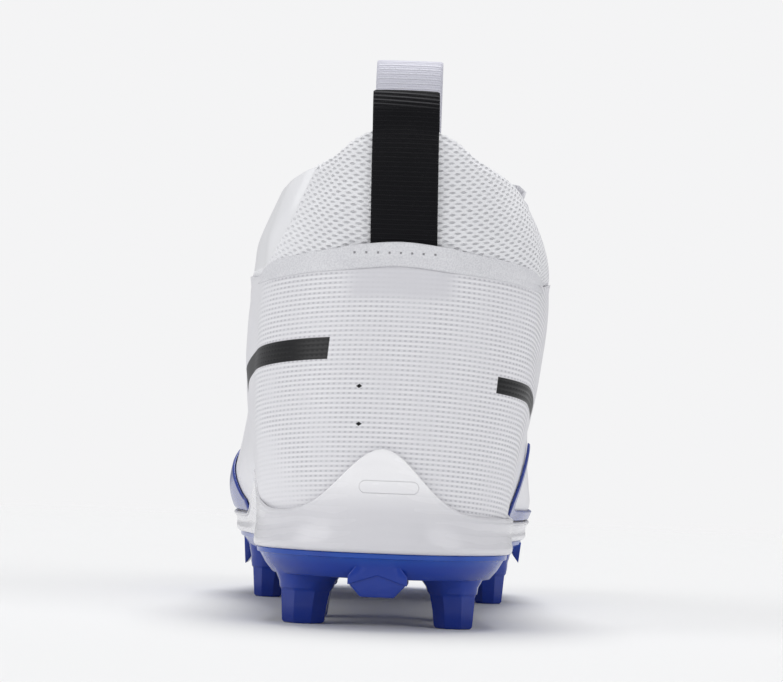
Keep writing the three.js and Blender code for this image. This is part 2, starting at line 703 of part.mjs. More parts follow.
// The blue wrap round the forefoot: tall at the lateral ball, low round the toe and along the medial
// side, where its rear end sweeps up off the chassis in a narrow crescent at the waist.
const WRAP = {
  [LATERAL]: [
    { at: 154, z: 35, lift: 0 },
    { at: 172, z: 48, lift: 0 },
    { at: 188, z: 55, lift: 0 },
    { at: 212, z: 50, lift: 0 },
    { at: 267, z: 42, lift: 0 },
    { at: WALK_END, z: 42, lift: 0 },
  ],
  [MEDIAL]: [
    { at: 136, z: 58, lift: 22 },
    { at: 142, z: 52.5, lift: 12.5 },
    { at: 148, z: 42.5, lift: 3.4 },
    { at: 154, z: 36.6, lift: 0 },
    { at: 162, z: 34.6, lift: 0 },
    { at: 212, z: 33.8, lift: 0 },
    { at: 249, z: 39, lift: 0 },
    { at: WALK_END, z: 42, lift: 0 },
  ],
};

function levelAtHeight(at, side, z) {
  let low = LEVEL.foot;
  let high = LEVEL.edge;
  for (let i = 0; i < 24; i++) {
    const middle = (low + high) / 2;
    if (sectionPoint(at, side, middle).z < z) low = middle;
    else high = middle;
  }
  return low;
}

function makeWrap() {
  const stops = [
    ...ROUND.filter(({ at, side }) => side === MEDIAL && at >= 136),
    ...ROUND.filter(({ at, side }) => side === LATERAL && at >= 154),
  ];
  const levelsAt = (at, side) => {
    const rows = WRAP[side];
    const low = levelAtHeight(at, side, chassisTop(at, side) + 0.9 + along(rows, "at", at, "lift"));
    const high = levelAtHeight(at, side, along(rows, "at", at, "z"));
    return clampLines(levelLines(at), low, high);
  };
  const sheet = (out) => (at, side) => levelsAt(at, side).map((level) => formPoint(at, side, level, out));
  return largest(patchSolid(stops, sheet(GAP + OVERLAY), sheet(0.12)).subtract(room));
}

// A band of webbing that runs along a path, as two faces one thickness apart.
function hairpin(path, thick) {
  const outside = [];
  const inside = [];
  path.forEach(([r, z], i) => {
    const before = path[Math.max(0, i - 1)];
    const after = path[Math.min(path.length - 1, i + 1)];
    const size = Math.hypot(after[0] - before[0], after[1] - before[1]);
    const nr = (after[1] - before[1]) / size;
    const nz = -(after[0] - before[0]) / size;
    outside.push([r, z]);
    inside.push([r - nr * thick, z - nz * thick]);
  });
  return { outside, inside };
}

function heelLoopPath(at, side) {
  const lowest = levelAtHeight(at, side, HEEL_LOOP_FOOT + 1);
  const face = (level) => Math.max(0.4, collarOut(at, side, level)) + GAP + LOOP_THICK + 0.15;
  const up = spread(lowest, 2.96, 6).map((level) => formPoint(at, side, level, face(level)));
  const [r, z] = up[up.length - 1];
  const free = LOOP_FREE.map(({ back, share }) => [r - back, z + (HEEL_LOOP_TOP - z) * share]);
  const behind = (level) => collarIn(at, level) - GAP - LOOP_THICK - 0.15;
  const down = [2.88, 2.76, 2.64].map((level) => formPoint(at, side, level, behind(level)));
  return hairpin([...up, ...free, ...down], LOOP_THICK);
}

// The loop keeps its width all the way, so its points lie at a constant distance from its middle.
function makeHeelLoop() {
  const halfWalk = (LOOP_WIDTH / 2 / (HEEL_CENTRE_Y - 1)) * (HEEL_WALK / (Math.PI / 2));
  const face = (name) =>
    spread(-1, 1, 4).map((part) => {
      const at = Math.abs(part) * halfWalk;
      const across = (part * LOOP_WIDTH) / 2;
      return heelLoopPath(at, part < 0 ? LATERAL : MEDIAL)[name].map(([r, z]) => {
        const y = HEEL_CENTRE_Y - Math.sqrt(r * r - across * across);
        return [across + lean(at, z) + LOOP_SHIFT - LOOP_TILT * (z - HEEL_LOOP_FOOT), y, z];
      });
    });
  return sheetSolid(face("outside"), face("inside"));
}

// The tongue, an arched pad under the throat that ends in a free rounded top.
function tongueFrame(y) {
  const value = (column) => along(TONGUE, "y", y, column);
  const reach = y > 190 ? -1 : 1;
  const slope = (along(TONGUE, "y", y + reach, "z") - value("z")) / reach;
  const size = Math.hypot(1, slope);
  return {
    z: value("z"),
    half: value("half"),
    drop: value("drop"),
    thick: value("thick"),
    ny: -slope / size,
    nz: 1 / size,
    x: station(HEEL_WALK + y - HEEL_CENTRE_Y, MEDIAL).x + 0.6,
  };
}

const TONGUE_STOPS = [86.4, 87.4, 89.4, 93, 99, 106, 115, 125, 136, 148, 160, 171, 180, 188, 196];

function makeTongue() {
  const across = [1, 0.85, 0.55, 0.2, -0.2, -0.55, -0.85, -1];
  const sheet = (share) =>
    TONGUE_STOPS.map((y) => {
      const f = tongueFrame(y);
      return across.map((part) => {
        const deep = f.thick * share * (1 - 0.62 * part ** 4) + f.drop * part * part;
        return [f.x + f.half * part, y - f.ny * deep, f.z - f.nz * deep];
      });
    });
  return sheetSolid(sheet(0), sheet(1));
}

function makeTongueLoop() {
  const offTongue = (y, deep) => {
    const f = tongueFrame(y);
    return [y - f.ny * deep, f.z - f.nz * deep];
  };
  const front = [96, 93, 90].map((y) => offTongue(y, -GAP - LOOP_THICK));
  const [startY, startZ] = front[front.length - 1];
  const free = LOOP_FREE.map(({ back, share }) => [
    startY - back * TONGUE_LOOP_OPEN - 2.4 * Math.min(1, share / 0.6),
    startZ + (TONGUE_LOOP_TOP - startZ) * share,
  ]);
  const arch = 1.3;
  const back = [88.4, 92].map((y) => offTongue(y, tongueFrame(y).thick + arch + GAP + LOOP_THICK));
  const { outside, inside } = hairpin([...front, ...free, ...back], LOOP_THICK);
  const x = tongueFrame(90).x + TONGUE_LOOP_X;
  const row = (points) => (edge) => points.map(([y, z]) => [x + edge * (TONGUE_LOOP_WIDTH / 2), y, z]);
  return sheetSolid([1, -1].map(row(outside)), [1, -1].map(row(inside)));
}

// Laces cross the throat from eyelet to eyelet, all joined, clear of panels and tongue.
const LACE_STEPS = [
  { share: 0, level: EYELET_LEVEL, lift: 0 },
  { share: 0.13, level: 2.86, lift: 0.3 },
  { share: 0.25, level: LEVEL.edge, lift: 0.9 },
  { share: 0.5, level: LEVEL.edge, lift: 2.4 },
  { share: 0.75, level: LEVEL.edge, lift: 0.9 },
  { share: 0.87, level: 2.86, lift: 0.3 },
  { share: 1, level: EYELET_LEVEL, lift: 0 },
];

function overForm(at, side, level, out) {
  const [r, z] = formPoint(at, side, level, out);
  return new THREE.Vector3(...place(at, side, r, z));
}

function laceBar(from, to, extraLift) {
  const out = GAP + OVERLAY + GAP + 0.5;
  const at = (share) => from + (to - from) * share;
  const onForm = ({ share, level, lift }, shift) => {
    const walk = at(share) + shift;
    const up = out + lift + (share > 0.2 && share < 0.8 ? extraLift : 0);
    if (share !== 0.5) return overForm(walk, share < 0.5 ? LATERAL : MEDIAL, level, up);
    const middle = overForm(walk, LATERAL, level, up).add(overForm(walk, MEDIAL, level, up));
    return middle.multiplyScalar(0.5).add(new THREE.Vector3(0, 0, 1.5));
  };
  const centre = LACE_STEPS.map((step) => onForm(step, 0));
  const rows = (up) =>
    centre.map((p, i) => {
      const before = centre[Math.max(0, i - 1)];
      const after = centre[Math.min(centre.length - 1, i + 1)];
      const tangent = after.clone().sub(before).normalize();
      const down = onForm(LACE_STEPS[i], 4).sub(onForm(LACE_STEPS[i], -4));
      const wide = down.addScaledVector(tangent, -down.dot(tangent)).normalize();
      const normal = tangent.clone().cross(wide).normalize();
      return [0.5, -0.5].map((part) => {
        const q = p.clone().addScaledVector(wide, part * LACE_WIDTH);
        return q.addScaledVector(normal, up * LACE_THICK).toArray();
      });
    });
  return sheetSolid(rows(0), rows(1));
}

function makeLaces() {
  const bars = EYELETS.slice(0, -1).flatMap((at, i) => [
    laceBar(at, EYELETS[i + 1], 0),
    laceBar(EYELETS[i + 1], at, 1),
  ]);
  const last = EYELETS[EYELETS.length - 1];
  return [...bars, laceBar(last, last, 0)].reduce((whole, bar) => whole.add(bar));
}

const PIECES = [
  ["outsole", makeOutsole(), COLOURS.blue],
  ["chassis", makeChassis(), COLOURS.white],
  ["insole", makeInsole(), COLOURS.lining],
  ["upper", makeUpper(), COLOURS.textile],
  ["collar", makeCollar(), COLOURS.mesh],
  ["tongue", makeTongue(), COLOURS.lining],
  ["panel_lateral", makePanel(LATERAL), COLOURS.white],
  ["panel_medial", makePanel(MEDIAL), COLOURS.white],
  ["toe_wrap", makeWrap(), COLOURS.blue],
  ["heel_loop", makeHeelLoop(), COLOURS.black],
  ["tongue_loop", makeTongueLoop(), COLOURS.webbing],
  ["laces", makeLaces(), COLOURS.white],
];

const group = new THREE.Group();
group.name = "football_cleat";

const boxes = PIECES.map(([, solid]) => solid.boundingBox());
const middle = (axis) =>
  (Math.min(...boxes.map((box) => box.min[axis])) + Math.max(...boxes.map((box) => box.max[axis]))) / 2;
const lowest = Math.min(...boxes.map((box) => box.min[2]));

for (const [name, solid, colour] of PIECES) {
  const made = solid.getMesh();
  const geometry = new THREE.BufferGeometry();
  geometry.setAttribute("position", new THREE.BufferAttribute(new Float32Array(made.vertProperties), 3));
  geometry.setIndex(new THREE.BufferAttribute(new Uint32Array(made.triVerts), 1));
  geometry.translate(-middle(0), -middle(1), -lowest);
  geometry.computeVertexNormals();
  const mesh = new THREE.Mesh(geometry, new THREE.MeshStandardMaterial({ color: colour, roughness: 0.6 }));
  mesh.name = name;
  group.add(mesh);
}

export default group;
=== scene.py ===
from functools import lru_cache
from math import atan2, cos, exp, floor, hypot, pi, radians, sin, sqrt

import bmesh
import bpy
from mathutils import Matrix, Vector


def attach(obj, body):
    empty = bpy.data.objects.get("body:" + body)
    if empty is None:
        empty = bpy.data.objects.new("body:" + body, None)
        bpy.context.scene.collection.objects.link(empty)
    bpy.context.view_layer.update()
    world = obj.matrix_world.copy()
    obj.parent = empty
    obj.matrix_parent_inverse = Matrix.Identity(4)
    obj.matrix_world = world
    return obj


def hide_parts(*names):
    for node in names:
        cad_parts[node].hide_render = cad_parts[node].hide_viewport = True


# A left football cleat with a padded collar. Shapes are worked out in millimetres in the maker's frame:
# y runs from the back of the heel to the toe, x towards the medial side, and z up from the stud tips.
# "at" is a walk round half of the outline, from the heel's back to the toe tip.

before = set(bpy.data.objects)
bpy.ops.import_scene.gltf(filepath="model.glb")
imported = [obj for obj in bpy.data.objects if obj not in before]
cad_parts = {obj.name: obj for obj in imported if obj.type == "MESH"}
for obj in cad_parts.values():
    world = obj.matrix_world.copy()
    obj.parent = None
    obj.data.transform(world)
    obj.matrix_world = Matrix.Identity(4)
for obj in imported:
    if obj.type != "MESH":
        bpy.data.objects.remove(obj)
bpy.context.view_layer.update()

MM = 0.001
SHIFT_X = 6.409
SHIFT_Y = -144.247

LATERAL = -1
MEDIAL = 1

# The outline: a half circle round the heel, two sides and a half circle round the toe.
HEEL_CENTRE_Y = 36
TOE_CENTRE_Y = 236
HEEL_WALK = 40
TOE_WALK = 55
SIDE_WALK = TOE_CENTRE_Y - HEEL_CENTRE_Y
WALK_END = HEEL_WALK + SIDE_WALK + TOE_WALK

# The upper and the collar.
FOOT_Z = 24.6
RIM_BACK_Z = 152.4
RIM_SIDE_Z = 136.6
WALL = 2.0
GAP = 0.3
OVERLAY = 1.0
COLLAR_PUFF = 1.8
COLLAR_PAD = 3.6
COLLAR_RIM = 2.4
COLLAR_FRONT = 84
COLLAR_BUTT = 1.5
THROAT_FRONT = 180
SCALLOP_PITCH = 2.1
SCALLOP = 0.34
ANKLE_FLARE = 0.8

# The plate, the tray and the insole.
PLATE_TOP = 22.8
PLATE_INSET = 1.6
CHASSIS_BOTTOM = 22.86
CHASSIS_FLOOR = 24.2
CHASSIS_SIDE = 3.7
CHASSIS_LIP = 1.5
CHASSIS_REST = 0.38
INSOLE_BOTTOM = 24.5
INSOLE_TOP = 28.6
SPUR_RISE = 19
SPUR_WIDTH = 15
INSOLE_GAP = 0.55
TOE_SPRING_START = 188
TOE_SPRING_END = 292
TOE_SPRING = 9
HEEL_LEAN = 3.4

# Levels up the upper's section, with the belly at one.
FOOT = 0
SHOULDER = 2
EDGE = 3
CROWN_END = 4

# How finely the forms are cut.
UPPER_STOPS = 360
UPPER_ROWS = 60
INNER_ROWS = 18
RIM_TURNS = (30, 60, 90, 120, 150)
COLLAR_STOPS = 420
COLLAR_ROWS = 40
CHASSIS_STOPS = 400
CHASSIS_SHARES = (0.12, 0.22, 0.32, 0.42, 0.52, 0.62, 0.72, 0.8, 0.86)
LIP_TURNS = (-35, -5, 25, 55, 85, 115, 145, 175)
INSOLE_STOPS = 240
BINDING_STOPS = 176
BINDING_ROWS = 14
PANEL_STOPS = 130
WRAP_STOPS = 150
SHEET_ROWS = 26
PATH_STEPS = 5
STUD_STOPS = 48
WELD = 0.004


def table(columns, *rows):
    """Rows of numbers with named columns."""
    names = columns.split()
    return [dict(zip(names, row)) for row in rows]


SECTION_COLUMNS = "at foot_r belly_r belly_z shoulder_r shoulder_z edge_r edge_z"
SECTIONS = {
    LATERAL: table(
        SECTION_COLUMNS,
        (0, 33.5, 36, 50, 33.2, 111, 30.5, RIM_BACK_Z),
        (12, 34.6, 37.4, 50, 35.7, 109.5, 31.3, 148.3),
        (20, 35.2, 38.2, 50, 37.6, 108.5, 31.8, 142.4),
        (40, 36.6, 40.5, 50, 43.4, 106, 35, RIM_SIDE_Z),
        (64, 36.4, 44, 56, 46.8, 107, 36.4, RIM_SIDE_Z),
        (94, 37, 46.8, 60, 45.8, 109, 31.5, 141),
        (124, 39, 48, 56, 43, 96, 24, 118),
        (154, 43, 50.5, 48, 42, 78, 19, 95),
        (184, 48, 54, 41, 41, 64, 17, 77),
        (204, 49.5, 54.6, 38, 41, 57, 16, 67.5),
        (240, 45.5, 49, 35, 37, 49, 15, 56.6),
        (267, 44, 47, 33, 36, 44, 16, 53.4),
        (295, 50, 53, 32, 42, 40.6, 20, 51),
    ),
    MEDIAL: table(
        SECTION_COLUMNS,
        (0, 33.5, 36, 50, 33.2, 111, 30.5, RIM_BACK_Z),
        (12, 34.6, 37.4, 50, 35.7, 109.5, 31.3, 148.3),
        (20, 35.2, 38.2, 50, 37.4, 108.5, 31.8, 142.4),
        (40, 36.4, 40, 50, 42.8, 106, 34.4, RIM_SIDE_Z),
        (64, 35, 43, 60, 47.3, 108, 36.2, RIM_SIDE_Z),
        (94, 33, 45.5, 64, 48.6, 109, 35.5, 141),
        (124, 34, 47, 62, 44.5, 97, 24, 118),
        (154, 39, 49.5, 52, 41, 79, 19, 95),
        (184, 46, 52.5, 41, 40, 65, 17, 77),
        (204, 48.5, 53.4, 38, 40, 58, 16, 67.5),
        (240, 43.5, 47, 35, 36, 49, 15, 56.6),
        (267, 45.5, 48.6, 33, 37.5, 44, 16, 53.4),
        (295, 50, 53, 32, 42, 40.6, 20, 51),
    ),
}
CROWN = table(
    "at crown_r crown_z",
    (0, 27, RIM_BACK_Z + 11.5),
    (64, 30, RIM_SIDE_Z + 15),
    (94, 18, 152),
    (124, 4, 125),
    (154, 0, 99.5),
    (184, 0, 80.5),
    (204, 0, 70),
    (240, 0, 58.6),
    (295, 0, 58.6),
)
FORM_END = table("at level", (0, 3), (172, 3), (176, 3.22), (178.5, 3.55), (180, 4), (295, 4))
COLLAR_SEAM = table("at level", (0, 2), (80, 2), (92, 4))
CENTRE_LINE = table("y x", (36, 0), (90, -0.6), (130, -3), (170, -5.4), (205, -6), (236, -4))
CHASSIS_EDGE = {
    LATERAL: table(
        "at z",
        (0, 35),
        (24, 34.6),
        (34, 37.2),
        (42, 41.5),
        (54, 45),
        (80, 46),
        (124, 38),
        (160, 30),
        (295, 30),
    ),
    MEDIAL: table("at z", (0, 35), (40, 34), (92, 34.5), (130, 34.5), (170, 30), (295, 30)),
}
PLATE_BOTTOM = table("y z", (0, 15), (50, 15), (76, 17.6), (130, 18), (175, 16.6), (292, 17.2))
PANEL_LOW = {
    LATERAL: table(
        "at level", (24, 2.9), (30, 2.35), (37, 2.03), (92, 2.0), (110, 2.12), (132, 2.35), (172, 2.35)
    ),
    MEDIAL: table("at level", (88, 2.7), (95, 2.35), (110, 2.3), (132, 2.35), (172, 2.35)),
}
WRAP = {
    LATERAL: table(
        "at z lift", (154, 35, 0), (172, 48, 0), (188, 55, 0), (212, 50, 0), (267, 42, 0), (295, 42, 0)
    ),
    MEDIAL: table(
        "at z lift",
        (136, 58, 22),
        (142, 52.5, 12.5),
        (148, 42.5, 3.4),
        (154, 36.6, 0),
        (162, 34.6, 0),
        (212, 33.8, 0),
        (249, 39, 0),
        (295, 42, 0),
    ),
}
STUDS = table(
    "x y base_r tip_r out tip_z",
    (-23, 27, 13.4, 6.7, 2.4, 0),
    (22.8, 27, 13.4, 6.1, 2.4, 0),
    (-23.5, 63, 11, 6, 1.6, 0),
    (22.5, 63, 11, 6, 1.6, 0),
    (-45, 172, 9, 5, 1.6, 0),
    (-42.5, 212, 9, 5, 1.6, 0),
    (-29, 247, 8.5, 5, 1.2, 1.6),
    (33.5, 184, 9, 5, 1.6, 0),
    (31, 222, 9, 5, 1.6, 0),
    (17, 256, 8.5, 5, 1.2, 2.4),
    (-5, 197, 8, 4.6, 0, 4),
)
STUD_SIDES = 8
BLADES = table("x y length tip_z side", (-54, 190, 16, 11, LATERAL), (43.6, 201, 14, 14.5, MEDIAL))
LUG_Y = 12
LUG_HALF = [(5, 9.6), (8.6, 13.5), (8.6, 15.8), (6.6, 19.2)]
LUG_ROOF = [
    (-8.9, 13.2),
    (-6, 14.2),
    (0, 16.2),
    (6, 14.2),
    (8.9, 13.2),
    (8.9, 16),
    (6.6, 19),
    (-6.6, 19),
    (-8.9, 16),
]
WEB_Y = 31
WEB_HALF = 22
WEB_FOOT = 15.2
WEB_RISE = 3.8
WEB_TOP = 18.6
GUSSET = [(0, WEB_TOP), (13.5, WEB_TOP), (8.8, 12.5), (6.4, 7.8), (0, 7.8)]
HEEL_STUDS = 4

# The two pull loops. In a loop's table the free part is given as a way back and a share of its height.
LOOP_WIDTH = 20
LOOP_THICK = 1.5
LOOP_SHIFT = 0.8
LOOP_TILT = 0.023
LOOP_PRESSED = 0.75
LOOP_CLEAR = 0.15
HEEL_LOOP_FOOT = 112.6
HEEL_LOOP_TOP = 162
LOOP_FREE = table(
    "back share", (0.3, 0.4), (0.9, 0.75), (2, 0.94), (4, 1), (6, 0.94), (7.2, 0.75), (7.8, 0.35)
)
TONGUE_LOOP_WIDTH = 21.6
TONGUE_LOOP_X = 1.4
TONGUE_LOOP_TOP = 181.4
TONGUE_LOOP_OPEN = 1.35
TONGUE_ARCH = 1.3
SELVEDGE = table(
    "across thickness", (-1, 0.45), (-0.94, 0.9), (-0.6, 1), (0, 1), (0.6, 1), (0.94, 0.9), (1, 0.45)
)

# The tongue, the binding at the heel, the eyelets and the laces.
TONGUE_TOP_Y = 86.4
TONGUE_ROLL = 3.2
TONGUE = table(
    "y z half drop thick",
    (TONGUE_TOP_Y, 151, 23, 4.6, 3.4),
    (91, 145.6, 28, 6, 5.2),
    (100, 135.4, 29, 6.6, 6),
    (108, 127.4, 29, 7, 6),
    (125, 113.6, 28, 7.4, 6),
    (145, 98.2, 27, 7, 5.4),
    (165, 84, 25, 6.4, 4.4),
    (180, 77, 22, 5.8, 3.2),
    (196, 69.3, 19, 4.4, 2.2),
)
BINDING_LOW = 1.955
BINDING_HIGH = 2.1
BINDING_END = 44
BINDING_FADE = 14
BINDING_THICK = 0.4
EYELETS = [99, 112, 126, 140, 154, 167]
EYELET_LEVEL = 2.72
EYELET_RADIUS = 2.9
EYELET_TUBE = 0.5
LACE_WIDTH = 6
LACE_THICK = 1.7
LACE_TURN = 24
LACE_STEPS = table(
    "share level lift",
    (0, 2.72, -1.2),
    (0.05, 2.76, 0.1),
    (0.13, 2.86, 0.3),
    (0.25, 3, 0.9),
    (0.5, 3, 2.4),
    (0.75, 3, 0.9),
    (0.87, 2.86, 0.3),
    (0.95, 2.76, 0.1),
    (1, 2.72, -1.2),
)

# Soft troughs (depth below zero) and ridges laid on the upper, in millimetres: the middle as a
# walk and a height, half the length and half the breadth, and the turn of the fold in degrees.
CREASES = table(
    "side at z reach breadth turn depth",
    (LATERAL, 52, 92, 24, 5, 24, -0.7),
    (LATERAL, 58, 78, 20, 5, 18, 0.5),
    (LATERAL, 30, 122, 16, 4, 70, -0.5),
    (LATERAL, 176, 58, 18, 5, -62, -0.9),
    (LATERAL, 190, 56, 18, 4, -68, -0.8),
    (LATERAL, 204, 52, 16, 4, -74, -0.6),
    (MEDIAL, 50, 84, 26, 6, -22, -0.6),
    (MEDIAL, 60, 68, 22, 5, -14, 0.5),
    (MEDIAL, 178, 58, 18, 5, -62, -0.9),
    (MEDIAL, 192, 56, 17, 4, -70, -0.8),
    (MEDIAL, 206, 52, 15, 4, -76, -0.6),
    (LATERAL, 120, 62, 34, 8, 10, -0.5),
    (MEDIAL, 116, 62, 34, 8, 8, -0.5),
)
CREASE_REACH = 60


def clamp01(value):
    """The value, held between nought and one."""
    return min(1.0, max(0.0, value))


def smooth(value):
    """A smooth step from nought to one."""
    return clamp01(value) ** 2 * (3 - 2 * clamp01(value))


def rise(value, start, length):
    """Nought up to the start, one from a length further on, and a smooth climb between."""
    return smooth((value - start) / length)


def spread(first, last, count):
    """Evenly spaced numbers from the first to the last, with a count of steps."""
    return [first + (last - first) * i / count for i in range(count + 1)]


def along(rows, key, at, column):
    """A smooth value between the rows of a table that never runs past its neighbours."""
    last = len(rows) - 1
    if at <= rows[0][key]:
        return rows[0][column]
    if at >= rows[last][key]:
        return rows[last][column]
    k = next(i for i, row in enumerate(rows) if row[key] > at) - 1

    def step(i):
        return rows[i + 1][key] - rows[i][key]

    def slope(i):
        return (rows[i + 1][column] - rows[i][column]) / step(i)

    def tangent(i):
        if i in (0, last):
            return 0
        before, after = slope(i - 1), slope(i)
        return 0 if before * after <= 0 else 2 * before * after / (before + after)

    h = step(k)
    t = (at - rows[k][key]) / h
    a, b = rows[k][column], rows[k + 1][column]
    return a + (b - a) * t * t * (3 - 2 * t) + h * t * (1 - t) * ((1 - t) * tangent(k) - t * tangent(k + 1))


@lru_cache(maxsize=None)
def station(at, side):
    """A station's centre, and the direction in which distances are measured there."""
    if at <= HEEL_WALK:
        turn = at / HEEL_WALK * pi / 2
        return 0, HEEL_CENTRE_Y, side * sin(turn), -cos(turn)
    if at <= HEEL_WALK + SIDE_WALK:
        y = HEEL_CENTRE_Y + at - HEEL_WALK
        return along(CENTRE_LINE, "y", y, "x"), y, side, 0
    turn = (at - HEEL_WALK - SIDE_WALK) / TOE_WALK * pi / 2
    return along(CENTRE_LINE, "y", TOE_CENTRE_Y, "x"), TOE_CENTRE_Y, side * cos(turn), sin(turn)


def toe_spring(y):
    """How far the sole has left the floor towards the toe."""
    return TOE_SPRING * max(0, (y - TOE_SPRING_START) / (TOE_SPRING_END - TOE_SPRING_START)) ** 1.9


def lean(at, z):
    """The sideways lean of the heel's top."""
    return HEEL_LEAN * rise(z, 40, 70) * (1 - rise(at, 20, 80))


def place(at, side, r, z):
    """The point at a distance from a station's centre, and at a height before the toe spring."""
    x, y, dx, dy = station(at, side)
    y += dy * r
    return Vector((x + dx * r + lean(at, z), y, z + toe_spring(y)))


@lru_cache(maxsize=None)
def controls(at, side):
    """The points that a station's section runs through, from the foot of the wall to the crown."""
    rows = SECTIONS[side]
    points = [
        (along(rows, "at", at, "foot_r"), FOOT_Z),
        (along(rows, "at", at, "belly_r"), along(rows, "at", at, "belly_z")),
        (along(rows, "at", at, "shoulder_r"), along(rows, "at", at, "shoulder_z")),
        (along(rows, "at", at, "edge_r"), along(rows, "at", at, "edge_z")),
        (along(CROWN, "at", at, "crown_r"), along(CROWN, "at", at, "crown_z")),
    ]
    return [*points, (2 * points[4][0] - points[3][0], points[3][1])]


@lru_cache(maxsize=None)
def section_point(at, side, level):
    """A point of the upper's section as distance and height, with its outward direction."""
    points = controls(at, side)
    k = min(CROWN_END - 1, int(floor(level)))
    t = level - k
    p1, p2, p3 = points[k], points[k + 1], points[k + 2]
    p0 = points[k - 1] if k > 0 else (p1[0] - (p2[0] - p1[0]) * 1.6, p1[1] * 2 - p2[1])

    def knot(a, b):
        return hypot(b[0] - a[0], b[1] - a[1]) ** 0.5 + 1e-6

    d0, d1, d2 = knot(p0, p1), knot(p1, p2), knot(p2, p3)

    def tangent(a, b, c, da, db):
        return [((b[i] - a[i]) / da - (c[i] - a[i]) / (da + db) + (c[i] - b[i]) / db) * d1 for i in (0, 1)]

    m1 = tangent(p0, p1, p2, d0, d1)
    m2 = tangent(p1, p2, p3, d1, d2)
    spot = [
        (2 * t**3 - 3 * t**2 + 1) * p1[i]
        + (t**3 - 2 * t**2 + t) * m1[i]
        + (3 * t**2 - 2 * t**3) * p2[i]
        + (t**3 - t**2) * m2[i]
        for i in (0, 1)
    ]
    heading = [
        (6 * t**2 - 6 * t) * p1[i]
        + (3 * t**2 - 4 * t + 1) * m1[i]
        + (6 * t - 6 * t**2) * p2[i]
        + (3 * t**2 - 2 * t) * m2[i]
        for i in (0, 1)
    ]
    size = hypot(*heading)
    return spot[0], spot[1], heading[1] / size, -heading[0] / size


def form_point(at, side, level, out, up=0.0):
    """A point of the form, moved out by one distance and up along the section by another."""
    r, z, nr, nz = section_point(at, side, level)
    r = 0 if level >= CROWN_END else r + nr * out - nz * up
    return max(0, r), z + nz * out + nr * up


def level_at(at, side, z, high=EDGE):
    """The level of the section at a height, found by halving."""
    low = FOOT
    for _ in range(20):
        middle = (low + high) / 2
        if section_point(at, side, middle)[1] < z:
            low = middle
        else:
            high = middle
    return low


@lru_cache(maxsize=None)
def radius_at(at, side, z):
    """How far the section stands out from its centre at a height below the shoulder."""
    return section_point(at, side, level_at(at, side, max(z, FOOT_Z), SHOULDER))[0]


def in_frame(point):
    """A point of the maker's frame in the shared frame, in metres."""
    return Vector(((point[0] + SHIFT_X) * MM, (point[1] + SHIFT_Y) * MM, point[2] * MM))


def finished(name, bm, material, replaces=()):
    """The bmesh as a piece of the shoe, at the origin, with its material and slot."""
    mesh = bpy.data.meshes.new(name)
    for face in bm.faces:
        face.smooth = True
    bm.to_mesh(mesh)
    bm.free()
    piece = bpy.data.objects.new(name, mesh)
    bpy.context.scene.collection.objects.link(piece)
    mesh.materials.append(material)
    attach(piece, "root")
    if replaces:
        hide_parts(*replaces)
    return piece


def lofted(lines, marks, skip=None, caps=True):
    """A grid whose rows are laid on the lines of points. The marks place each corner on its own cloth."""
    rows = len(lines) - 1
    columns = len(lines[0]) - 1
    bm = bmesh.new()
    uv = bm.loops.layers.uv.new("cloth")
    bmesh.ops.create_grid(bm, x_segments=rows, y_segments=columns, size=0.5)
    spots = {}
    for vert in bm.verts:
        spots[vert] = (round((vert.co.x + 0.5) * rows), round((vert.co.y + 0.5) * columns))
    unwanted = []
    for face in bm.faces:
        for loop in face.loops:
            loop[uv].uv = marks[spots[loop.vert][0]][spots[loop.vert][1]]
        if skip and skip(min(spots[v][0] for v in face.verts), min(spots[v][1] for v in face.verts)):
            unwanted.append(face)
    for vert, (i, j) in spots.items():
        vert.co = in_frame(lines[i][j])
    if unwanted:
        bmesh.ops.delete(bm, geom=unwanted, context="FACES")
    bmesh.ops.remove_doubles(bm, verts=bm.verts, dist=WELD * MM)
    bmesh.ops.dissolve_degenerate(bm, dist=0.5 * WELD * MM, edges=bm.edges)
    if caps:
        bmesh.ops.holes_fill(bm, edges=[e for e in bm.edges if e.is_boundary], sides=0)
    bmesh.ops.recalc_face_normals(bm, faces=bm.faces)
    return bm


def lofted_profiles(stops, profile_of, mark_of, **options):
    """A loft through the profiles of distance and height that profile_of gives at the stops."""
    lines, marks = [], []
    for at, side in stops:
        profile = profile_of(at, side)
        lines.append([place(at, side, r, z) for r, z in profile])
        marks.append([mark_of(at, side, z) for r, z in profile])
    return lofted(lines, marks, **options)


def walk_stops(first, last, count):
    """Stations from one signed walk to another: lateral walks are below zero, medial ones above."""
    return [(abs(walk), LATERAL if walk < 0 else MEDIAL) for walk in spread(first, last, count)]


def edge_mark(at, side, z):
    """Where a point lies on a moulded edge: round the shoe, and up."""
    return side * at, z


def cloth_mark(at, side, z):
    """Where a point lies on the cloth, in millimetres: round the shoe, and up along its arched rows."""
    arch = 0.0026 * min(at, 60) ** 2 + max(0, at - 60) * 0.16
    return side * at, z + arch


def knit_mark(at, side, z):
    """Where a point lies on the collar's knit, whose rows rise from the heel to both sides."""
    return side * at, z - 0.006 * min(at, 40) ** 2 - max(0, at - 40) * 0.2


def crease(at, side, z):
    """How far the folds raise or sink the surface there."""
    total = 0
    for row in CREASES:
        if row["side"] != side or abs(at - row["at"]) > CREASE_REACH:
            continue
        turn = radians(row["turn"])
        a, b = at - row["at"], z - row["z"]
        u = (a * cos(turn) + b * sin(turn)) / row["reach"]
        v = (b * cos(turn) - a * sin(turn)) / row["breadth"]
        total += row["depth"] * exp(-u * u - v * v)
    return total


def ankle_flare(at, level):
    """How far the shell's top edge stands out beside the ankle, where it overlaps the collar."""
    return ANKLE_FLARE * rise(at, 26, 16) * (1 - rise(at, 78, 8)) * rise(level, 1.94, 0.06)


